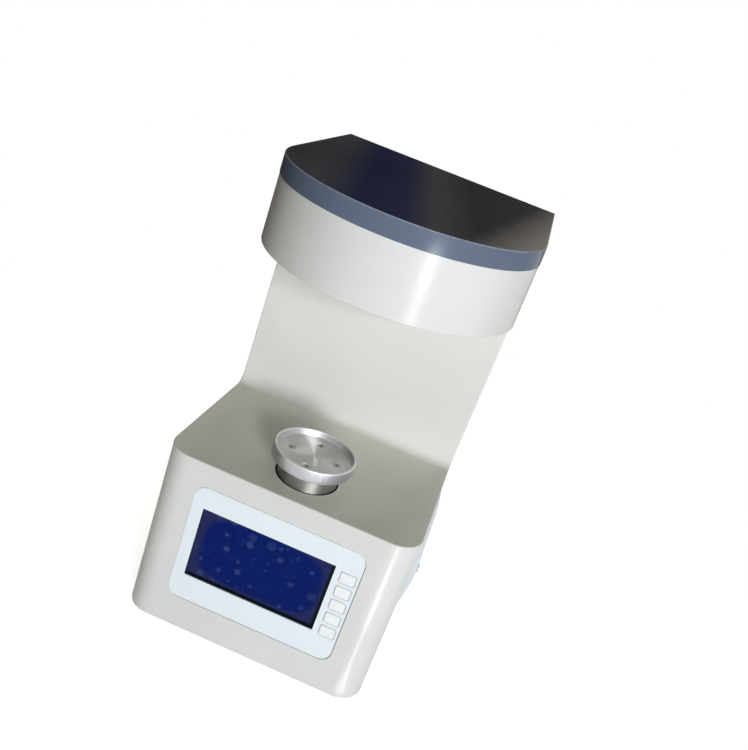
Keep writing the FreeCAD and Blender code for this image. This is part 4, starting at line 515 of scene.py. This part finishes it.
def plated_steel(name):
    """Zinc plate: small cloudy crystals, each of a slightly different grey."""
    finish = new_finish(name, (0.52, 0.53, 0.55), 0.34, Metallic=1.0)
    cells = add(finish, "ShaderNodeTexVoronoi", [("Vector", object_place(finish))], Scale=1 / 0.003)
    share = add(finish, "ShaderNodeSeparateColor", [(0, cells.outputs["Color"])]).outputs[0]
    vary_colour(finish, share, (0.46, 0.47, 0.5), (0.58, 0.58, 0.57))
    vary_gloss(finish, share, 0.28, 0.42)
    raise_grain(finish, blotches(finish, 0.0008), 0.000003)
    return finish


def moulded_plastic(name, colour, roughness, grain=0.0005, depth=0.000008, **sockets):
    """Moulded plastic with a fine spark-eroded texture."""
    finish = new_finish(name, colour, roughness, **sockets)
    vary_colour(finish, spread(finish, blotches(finish, 0.02)), shade(colour, 0.95), shade(colour, 1.04))
    vary_gloss(finish, blotches(finish, 0.006, detail=3), roughness - 0.05, roughness + 0.06)
    raise_grain(finish, blotches(finish, grain), depth)
    return finish


def circuit_board(name):
    """Green solder mask over copper tracks, which show as slightly lighter straight runs."""
    finish = new_finish(name, (0.01, 0.11, 0.04), 0.3, Coat_Weight=0.3)
    tracks = add(finish, "ShaderNodeTexBrick", [("Vector", object_place(finish))], Scale=180,
                 Mortar_Size=0.07, offset=0.5).outputs["Fac"]
    vary_colour(finish, tracks, (0.008, 0.085, 0.032), (0.03, 0.2, 0.07))
    raise_grain(finish, tracks, 0.00003)
    return finish


def wound_copper(name):
    """Enamelled copper wire in level turns."""
    finish = new_finish(name, (0.62, 0.25, 0.11), 0.25, Metallic=1.0, Coat_Weight=0.5)
    turns = add(finish, "ShaderNodeTexWave", [("Vector", object_place(finish))], bands_direction="Z",
                Scale=500.0, Distortion=0.2).outputs["Fac"]
    vary_colour(finish, turns, (0.3, 0.09, 0.035), (0.66, 0.28, 0.13))
    raise_grain(finish, turns, 0.0001)
    return finish


def thermal_paper(name):
    """Plain white paper with faint fibres."""
    finish = new_finish(name, (0.86, 0.86, 0.83), 0.6)
    fibres = blotches(finish, 0.0015, detail=5, scale=(1, 3, 1))
    vary_colour(finish, spread(finish, fibres), (0.8, 0.8, 0.77), (0.88, 0.88, 0.86))
    raise_grain(finish, fibres, 0.00001)
    return finish


FINISHES = {
    "housing_paint": enamel("cream_enamel", CREAM, 0.24, Specular_IOR_Level=0.03),
    "lid_paint": enamel("slate_enamel", SLATE, 0.24, Specular_IOR_Level=0.04),
    # A lighter slate for the lid's top edge: a painted highlight.
    "lid_edge_highlight": enamel("lid_edge_highlight", (0.30, 0.33, 0.40), 0.3, Specular_IOR_Level=0.04),
    "panel_paint": enamel("rear_enamel", (0.62, 0.62, 0.58), 0.42, peel=0.0008, depth=0.00002),
    "lid_film": dark_film_with_painted_reflections("lid_film"),
    "overlay_film": printed_film("overlay_film", PALE_BLUE),
    # The keys' film is lighter than the overlay's: partly its print, partly a painted highlight.
    "key_film": printed_film("key_film", (0.96, 0.99, 1.0)),
    "key_outline": printed_film("key_outline", (0.70, 0.715, 0.79)),
    # Dark grey for the painted shadow line beside the overlay.
    "overlay_shadow_grey": printed_film("overlay_shadow_grey", (0.20, 0.21, 0.25)),
    "clear_window": clear_acrylic("clear_acrylic"),
    "display_black": moulded_plastic("display_bezel_black", (0.008, 0.008, 0.012), 0.5,
                                     Specular_IOR_Level=0.1),
    "display_blue": blue_display("display_blue"),
    "circuit": circuit_board("solder_mask"),
    "turned_aluminium": turned_metal("turned_aluminium", (0.50, 0.505, 0.53), 0.42, DISH_AXIS, 0.2),
    "dish_floor": turned_metal("dish_floor", (0.63, 0.625, 0.60), 0.42, DISH_AXIS, 0.95),
    # A lighter copy of the turned aluminium for the dish's rim: a painted highlight.
    "dish_rim_highlight": turned_metal("dish_rim_highlight", (0.64, 0.64, 0.63), 0.38, DISH_AXIS, 0.2),
    "post_metal": turned_metal("post_metal", (0.29, 0.285, 0.265), 0.42, DISH_AXIS, 0.7),
    "screw_steel": milled_metal("screw_steel", (0.42, 0.40, 0.37), 0.26),
    "polished_steel": milled_metal("ground_steel", (0.6, 0.6, 0.6), 0.18),
    "zinc_steel": plated_steel("zinc_plate"),
    "brass_part": milled_metal("turned_brass", (0.7, 0.48, 0.2), 0.28),
    "copper_winding": wound_copper("wound_copper"),
    "black_plastic": moulded_plastic("black_plastic", (0.018, 0.018, 0.02), 0.42),
    "printer_plastic": moulded_plastic("printer_plastic", (0.68, 0.77, 0.86), 0.34, depth=0.000004),
    "button_plastic": moulded_plastic("button_plastic", (0.05, 0.13, 0.3), 0.38),
    "rubber": moulded_plastic("foot_rubber", (0.02, 0.02, 0.02), 0.75, depth=0.00003),
    "paper": thermal_paper("thermal_paper"),
    # Near black for the ring that paints the shade in the gap round the post.
    "gap_shade": moulded_plastic("gap_shade_black", (0.006, 0.006, 0.006), 0.9, depth=0.00003,
                            Specular_IOR_Level=0.1),
}

OWN_FINISH = {"platform_post": "post_metal", "dish_screws": "screw_steel"}


def finish_the_frame():
    """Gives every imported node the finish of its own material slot, or one of its own."""
    for name, node in frame["nodes"].items():
        for slot in node.material_slots:
            slot.material = FINISHES[OWN_FINISH.get(name, slot.material.name)]


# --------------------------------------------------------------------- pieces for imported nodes
def copy_of(node, name):
    """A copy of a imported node's mesh as a piece of its own, its loose triangles merged."""
    only(frame["nodes"][node])
    bpy.ops.object.duplicate()
    piece = bpy.context.object
    piece.name = piece.data.name = name
    piece.parent = None
    bpy.ops.mesh.customdata_custom_splitnormals_clear()
    begin_edit(piece)
    bpy.ops.mesh.select_all(action="SELECT")
    bpy.ops.mesh.remove_doubles(threshold=MM / 1000)
    bpy.ops.mesh.dissolve_limited(angle_limit=radians(0.5), delimit={"NORMAL"})
    end_edit()
    return piece


def stand_for(piece, node, body="housing"):
    """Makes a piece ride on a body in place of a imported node."""
    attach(piece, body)
    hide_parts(node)


def add_finishes(piece, *names):
    """Gives a piece further finishes, in slots after its own."""
    for name in names:
        piece.data.materials.append(FINISHES[name])


def dressed_nodes():
    """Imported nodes' own forms, with their edges rounded and their flats shaded flat."""
    for node, name, width, body in DRESSED:
        piece = soften_edges(copy_of(node, name), width * MM)
        change(piece, "WEIGHTED_NORMAL", keep_sharp=True)
        stand_for(piece, node, body)


def height_of(face):
    return face.calc_center_median().z


# ---------------------------------------------------------------------------------- the lid
def lid():
    """Slate cap: its flat top is a dark film, inside an edge in a lighter slate that is a painted
    highlight.
    """
    cap = copy_of("head_lid", "lid_cap")
    add_finishes(cap, "lid_film", "lid_edge_highlight")
    begin_edit(cap)
    assign(cap, 1, lambda face: face.normal.z > 0.99 and height_of(face) > LID_HIGH.z - MM / 2)
    # Painted highlight: the rounded edge round the top takes a lighter slate.
    assign(cap, 2, lambda face: 0.3 < face.normal.z < 0.95 and height_of(face) > LID_HIGH.z - MM)
    end_edit()
    stand_for(smooth(cap, 40), "head_lid")


# ------------------------------------------------------------------------------- front panel
def key_caps():
    """Embossed keys: a printed outline runs round the face of each."""
    for number in range(1, KEY_COUNT + 1):
        node = f"key_{number}"
        cap = copy_of(node, f"key_cap_{number}")
        add_finishes(cap, "key_outline")
        begin_edit(cap)
        assign(cap, 1, lambda face: face.normal.y < -0.5)
        pick(cap, lambda face: face.normal.y < -0.99)
        bpy.ops.mesh.inset(thickness=KEY_LINE)
        paint_picked(cap, 0)
        end_edit()
        stand_for(smooth(cap, 30), node, f"panel_key_{number}")


def overlay_shadow_line():
    """A dark ring behind the overlay, shifted right and down, so that a thin line of it shows along the
    right and the bottom: a painted shadow line.
    """
    span = OVERLAY_HIGH - OVERLAY_LOW
    middle = (OVERLAY_LOW + OVERLAY_HIGH) / 2
    ring = primitive("plane", "overlay_shadow_line", turn=(pi / 2, 0, 0), stretch=(span.x, span.z, 1), size=1)
    begin_edit(ring, "VERT")
    bpy.ops.mesh.select_all(action="SELECT")
    bpy.ops.mesh.bevel(offset=OVERLAY_ROUND, segments=ROUND_STEPS, affect="VERTICES")
    bpy.ops.mesh.select_all(action="SELECT")
    bpy.ops.mesh.inset(thickness=SHADOW_LINE_WIDTH)
    bpy.ops.mesh.delete(type="FACE")
    extrude((0, SHADOW_LINE_DEPTH, 0))
    end_edit()
    # Shifted right and down, so that the painted shadow line shows along the right and the bottom.
    settle(ring, place=(middle.x + SHADOW_LINE_SHIFT, OVERLAY_LOW.y + SHADOW_LINE_SET_IN, middle.z - SHADOW_LINE_SHIFT))
    add_finishes(ring, "overlay_shadow_grey")
    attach(ring, "housing")


# ---------------------------------------------------------------------------------- the dish
def dish():
    """Turned dish: a lighter copy of its metal on the rim, a painted highlight, round a floor that was
    faced with finer rings.
    """
    bowl = copy_of("sample_dish", "turned_dish")
    add_finishes(bowl, "dish_floor", "dish_rim_highlight")
    rim = DISH_HIGH.z - MM
    begin_edit(bowl)
    # Painted highlight: the rim takes a lighter copy of the turned metal.
    assign(bowl, 2, lambda face: face.normal.z > 0.5 and height_of(face) > rim)
    assign(bowl, 1, lambda face: face.normal.z > 0.5 and DISH_LOW.z + DISH_SOLE < height_of(face) < rim)
    end_edit()
    stand_for(soften_edges(bowl, DISH_EDGE), "sample_dish", "platform")


def gap_shade_ring():
    """A black ring in the base's top that the post slides through: it fills the gap round the post as
    painted shade.
    """
    post_low, post_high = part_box("platform_post")
    reach = (post_high[0] - post_low[0]) / 2 + GAP_RING_CLEARANCE
    ring = primitive("circle", "gap_shade_ring", place=(DISH_AXIS.x, DISH_AXIS.y, BASE_TOP - GAP_RING_SUNK),
                     vertices=GAP_RING_SIDES, radius=reach, fill_type="NOTHING")
    begin_edit(ring, "EDGE")
    bpy.ops.mesh.select_all(action="SELECT")
    widening = (reach + GAP_RING_WIDTH) / reach
    bpy.ops.mesh.extrude_edges_move()
    bpy.ops.transform.resize(value=(widening, widening, 1),
                             center_override=(DISH_AXIS.x, DISH_AXIS.y, BASE_TOP))
    extrude((0, 0, -GAP_RING_DEPTH))
    end_edit()
    add_finishes(ring, "gap_shade")
    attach(ring, "housing")
    smooth(ring, 40)


# -------------------------------------------------------------------------------- fasteners
def crossed_screws(node, name, along, sense):
    """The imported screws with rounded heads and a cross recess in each. The heads point along one
    axis, 1 for y and 2 for z, in the sense of 1 or -1."""
    screws = soften_edges(copy_of(node, name), HEAD_ROUND)
    for low, high in solids_of(node):
        middle, end = (low + high) / 2, high if sense > 0 else low
        middle[along] = end[along]
        for quarter in (0, pi / 2):
            blade = primitive("cone", "recess", vertices=4, radius1=RECESS_DEPTH / 2, radius2=RECESS_REACH,
                              depth=2 * RECESS_DEPTH, turn=(0, 0, pi / 4))
            settle(blade, stretch=(1, RECESS_SLOT / RECESS_REACH, 1))
            settle(blade, turn=(0, 0, quarter))
            settle(blade, turn=(-sense * pi / 2, 0, 0) if along == 1 else (pi, 0, 0), place=middle)
            carve(screws, blade)
    stand_for(smooth(screws), node)


# ---------------------------------------------------------------------------- rear sockets
def within(face, middle, across, up):
    """Whether a face lies wholly inside an upright rectangle about a point."""
    return all(abs(corner.co.x - middle.x) < across and abs(corner.co.z - middle.z) < up
               for corner in face.verts)


def mains_socket():
    """Mains inlet whose three pins are plated."""
    low, high = (Vector(corner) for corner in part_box("power_inlet"))
    socket = soften_edges(copy_of("power_inlet", "mains_socket"), INLET_EDGE)
    add_finishes(socket, "zinc_steel")
    begin_edit(socket)
    for side in (-1, 0, 1):
        place = (low + high) / 2 + Vector((side * PIN_PITCH, 0, PIN_LOWERED if side else PIN_RAISED))
        assign(socket, 1, lambda face: within(face, place, PIN_WIDTH, PIN_HEIGHT))
    end_edit()
    stand_for(socket, "power_inlet")


def knurl_tool(reach, middle):
    """A ring of equal rods round an axis along y, joined as one tool."""
    rods = []
    for number in range(KNURL_COUNT):
        angle = 2 * pi * number / KNURL_COUNT
        rods.append(primitive("cylinder", "knurl", place=(reach * cos(angle), reach * sin(angle), 0),
                              vertices=8, radius=KNURL_RADIUS, depth=KNURL_LENGTH + MM))
    return settle(join("knurl", *rods), turn=(pi / 2, 0, 0), place=middle)


def fuse_cap():
    """Screw-in fuse holder: its cap is knurled round the rim."""
    low, high = (Vector(corner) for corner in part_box("fuse_holder"))
    cap = soften_edges(copy_of("fuse_holder", "fuse_cap"), FUSE_EDGE)
    middle = (low + high) / 2
    middle.y = high.y - KNURL_LENGTH / 2
    carve(cap, knurl_tool((high.x - low.x) / 2 + KNURL_RADIUS / 2, middle))
    stand_for(smooth(cap, 30), "fuse_holder")


def data_socket():
    """Nine-way socket: tinned shell and flange, black insert, and two hexagonal jack posts."""
    low, high = (Vector(corner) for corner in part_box("serial_port"))
    middle = (low + high) / 2

    def beside(side, sink=0.0):
        """Place of the post on one side, -1 or 1."""
        return middle.x + side * JACK_SPACING / 2, high.y - SHELL_PROUD + JACK_HEIGHT / 2 + sink, middle.z

    socket = copy_of("serial_port", "data_socket_shell")
    for side in (-1, 1):
        carve(socket, primitive("cube", "jack_room", size=1, place=beside(side, JACK_SINK),
                                stretch=(JACK_ACROSS * JACK_ROOM, JACK_HEIGHT, JACK_ACROSS * JACK_ROOM)))
    soften_edges(socket, SHELL_EDGE, 1)
    add_finishes(socket, "zinc_steel")
    begin_edit(socket)
    assign(socket, 1, lambda face: not within(face, middle, INSERT_WIDTH / 2, INSERT_HEIGHT / 2))
    end_edit()
    stand_for(socket, "serial_port")
    for number, side in enumerate((-1, 1), 1):
        post = primitive("cylinder", f"jack_post_{number}", turn=(pi / 2, 0, 0), vertices=6,
                         radius=JACK_ACROSS / sqrt(3), depth=JACK_HEIGHT)
        carve(post, primitive("cylinder", "jack_bore", turn=(pi / 2, 0, 0), place=(0, JACK_HEIGHT / 2, 0),
                              vertices=24, radius=JACK_BORE, depth=JACK_HEIGHT))
        soften_edges(post, JACK_EDGE)
        add_finishes(post, "zinc_steel")
        settle(post, place=beside(side))
        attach(post, "housing")


# ------------------------------------------------------------------------------------ studio
MIDDLE = Vector((0, 0, 0.19))
AIR_TINT, AIR_STRENGTH = (1.0, 0.79, 0.5), 0.052
FLOOR_SIZE, FLOOR_TINT, FLOOR_LIFT = 12, (0.8, 0.8, 0.8), 0.78
SHADOW_KEPT, SHADOW_GONE = 0.25, 0.7
KEY_TINT, FILL_TINT, STRIP_TINT = (0.955, 0.98, 1.0), (1.0, 0.96, 0.90), (0.93, 0.97, 1.0)
FLAG_TINT = (0.06, 0.045, 0.025)
WHITE = (1, 1, 1, 1)

# Lit cards on the floor: name, azimuth, x and y, width, length and power.
GLINT_HEIGHT = 0.002
GLINTS = [
    ("corner_glint_low", 30, (0.122, -0.195), 0.02, 0.1, 0.28),
    ("corner_glint_high", 30, (0.188, -0.305), 0.05, 0.16, 3.4),
    ("drum_glint", 35, (0.66, -1.03), 0.13, 0.36, 34),
    ("band_glint", 35, (0.94, -1.43), 0.24, 0.6, 100),
]

# Dark cards beside the object: name, place, height and length.
FLAGS = [
    ("left_flag", (-0.5, 0.35, 0.3), 0.6, 1.5),
    ("right_flag", (0.3, 1.0, 0.16), 0.3, 0.9),
]

EYE_PLACE = (0.0851, -0.6740, 0.5088)
EYE_HEADING, EYE_DIP, EYE_ROLL = 0.0800, 0.3796, 0.3622
EYE_SENSOR, EYE_LENS, EYE_SHIFT, EYE_NEAREST = 36, 40.03, (-0.0328, -0.0046), 0.01


def cleared(holder):
    """A material or a world with an empty node tree."""
    holder.use_nodes = True
    holder.node_tree.nodes.clear()
    return holder


def show(holder, shader):
    """Gives a material or a world an output node that shows a shader."""
    kind = "ShaderNodeOutputWorld" if isinstance(holder, bpy.types.World) else "ShaderNodeOutputMaterial"
    add(holder, kind, [("Surface", shader.outputs[0])])


def shader_mix(holder, share, first, second):
    return add(holder, "ShaderNodeMixShader", [(0, share), (1, first.outputs[0]), (2, second.outputs[0])])


def seen_plainly(holder):
    """1 for camera, mirror and see-through rays, 0 for the rays that light things."""
    path = add(holder, "ShaderNodeLightPath").outputs
    first = scalar(holder, "ADD", path["Is Camera Ray"], path["Is Glossy Ray"])
    return scalar(holder, "ADD", first, path["Is Transmission Ray"], use_clamp=True)


def studio_air():
    """Dim warm light from all round, before a plain white background."""
    world = cleared(bpy.data.worlds.new("studio_air"))
    bpy.context.scene.world = world
    air = add(world, "ShaderNodeBackground", Color=(*AIR_TINT, 1), Strength=AIR_STRENGTH)
    white = add(world, "ShaderNodeBackground", Color=WHITE, Strength=1.0)
    show(world, shader_mix(world, seen_plainly(world), air, white))


def studio_floor():
    """A pale floor that keeps the shadow near the object and turns plain white further out."""
    bpy.ops.mesh.primitive_plane_add(size=FLOOR_SIZE, location=(0, 0, 0))
    floor = bpy.context.object
    floor.name = "floor"
    paint = cleared(bpy.data.materials.new("pale_floor"))
    seen = seen_plainly(paint)
    matt = add(paint, "ShaderNodeBsdfDiffuse", Color=(*FLOOR_TINT, 1))
    lift = add(paint, "ShaderNodeEmission", [("Strength", remap(paint, seen, 0, 1, 0, FLOOR_LIFT))],
               Color=WHITE)
    near = add(paint, "ShaderNodeAddShader", [(0, matt.outputs[0]), (1, lift.outputs[0])])
    far = add(paint, "ShaderNodeEmission", Color=WHITE, Strength=1.0)
    fade = add(paint, "ShaderNodeMapRange", [("Value", length_of(paint, object_place(paint)))],
               interpolation_type="SMOOTHSTEP", From_Min=SHADOW_KEPT, From_Max=SHADOW_GONE)
    show(paint, shader_mix(paint, scalar(paint, "MULTIPLY", fade.outputs[0], seen), near, far))
    floor.data.materials.append(paint)


def area_lamp(name, place, turn, width, length, power):
    """A rectangular lamp, which shines down before it is turned."""
    bpy.ops.object.light_add(type="AREA", location=place, rotation=turn)
    lamp = bpy.context.object
    lamp.name = name
    lamp.data.shape = "RECTANGLE"
    lamp.data.size, lamp.data.size_y = width, length
    lamp.data.energy = power
    return lamp


def softbox(name, azimuth, elevation, distance, width, height, power, colour, target=MIDDLE):
    """A rectangular lamp at an azimuth to the right of the front, turned to its target."""
    side, rise = radians(azimuth), radians(elevation)
    away = Vector((sin(side) * cos(rise), -cos(side) * cos(rise), sin(rise)))
    lamp = area_lamp(name, target + away * distance, away.to_track_quat("Z", "Y").to_euler(), width, height,
                     power)
    lamp.data.color = colour
    return lamp


def taken_by(name, *things):
    """A collection that names the pieces a lamp lights."""
    takers = bpy.data.collections.new(name)
    for thing in things:
        takers.objects.link(thing)
    return takers


def studio_lamps():
    """A cool key from the front right, a weak warm fill from behind, a strip that only the dish and
    its post mirror, and lit cards on the floor that draw the upright highlights on the enamel."""
    softbox("key_softbox", azimuth=27, elevation=14, distance=3.2, width=0.76, height=1.0, power=80,
            colour=KEY_TINT)
    fill = softbox("rear_fill", azimuth=180, elevation=22, distance=1.9, width=1.0, height=1.0, power=19,
                   colour=FILL_TINT)
    fill.visible_glossy = False
    nodes, pieces = frame["nodes"], bpy.data.objects
    enamelled = taken_by("enamelled", nodes["main_housing"], nodes["head_shell"], pieces["lid_cap"])
    strip = softbox("metal_strip", azimuth=43, elevation=10, distance=1.6, width=0.12, height=0.5, power=20,
                    colour=STRIP_TINT, target=DISH_AXIS)
    strip.visible_diffuse = False
    strip.light_linking.receiver_collection = taken_by(
        "turned", pieces["turned_dish"], nodes["platform_post"], nodes["dish_screws"])
    for name, azimuth, place, width, length, power in GLINTS:
        card = area_lamp(name, (*place, GLINT_HEIGHT), (pi, 0, radians(azimuth)), width, length, power)
        card.visible_camera = card.visible_diffuse = card.visible_transmission = False
        card.light_linking.receiver_collection = enamelled


def studio_flags():
    """Dark cards that stand beside the object and that only mirrors see: they draw its edges."""
    for name, place, height, length in FLAGS:
        card = primitive("plane", name, turn=(0, pi / 2, 0), place=place, stretch=(height, length, 1),
                         size=1)
        cloth = cleared(bpy.data.materials.new("flag_cloth"))
        show(cloth, add(cloth, "ShaderNodeEmission", Color=(*FLAG_TINT, 1), Strength=1.0))
        card.data.materials.append(cloth)
        card.visible_camera = card.visible_diffuse = card.visible_transmission = card.visible_shadow = False


def camera():
    """The view from a little right of the front, from above, with the camera rolled."""
    bpy.ops.object.camera_add(location=EYE_PLACE)
    eye = bpy.context.object
    eye.name = "view_camera"
    turn = (Matrix.Rotation(EYE_HEADING, 3, "Z") @ Matrix.Rotation(pi / 2 - EYE_DIP, 3, "X")
            @ Matrix.Rotation(EYE_ROLL, 3, "Z"))
    eye.rotation_euler = turn.to_euler()
    eye.data.sensor_width = EYE_SENSOR
    eye.data.lens = EYE_LENS
    eye.data.shift_x, eye.data.shift_y = EYE_SHIFT
    eye.data.clip_start = EYE_NEAREST
    bpy.context.scene.camera = eye


# ------------------------------------------------------------------------------------- build
finish_the_frame()
lid()
key_caps()
overlay_shadow_line()
dish()
gap_shade_ring()
crossed_screws("rear_screws", "rear_screw_heads", along=1, sense=1)
crossed_screws("lid_screws", "lid_screw_heads", along=1, sense=1)
crossed_screws("bottom_screws", "bottom_screw_heads", along=2, sense=-1)
mains_socket()
fuse_cap()
data_socket()
dressed_nodes()
camera()
studio_air()
studio_floor()
studio_flags()
studio_lamps()
bpy.context.scene.view_settings.view_transform = "Standard"
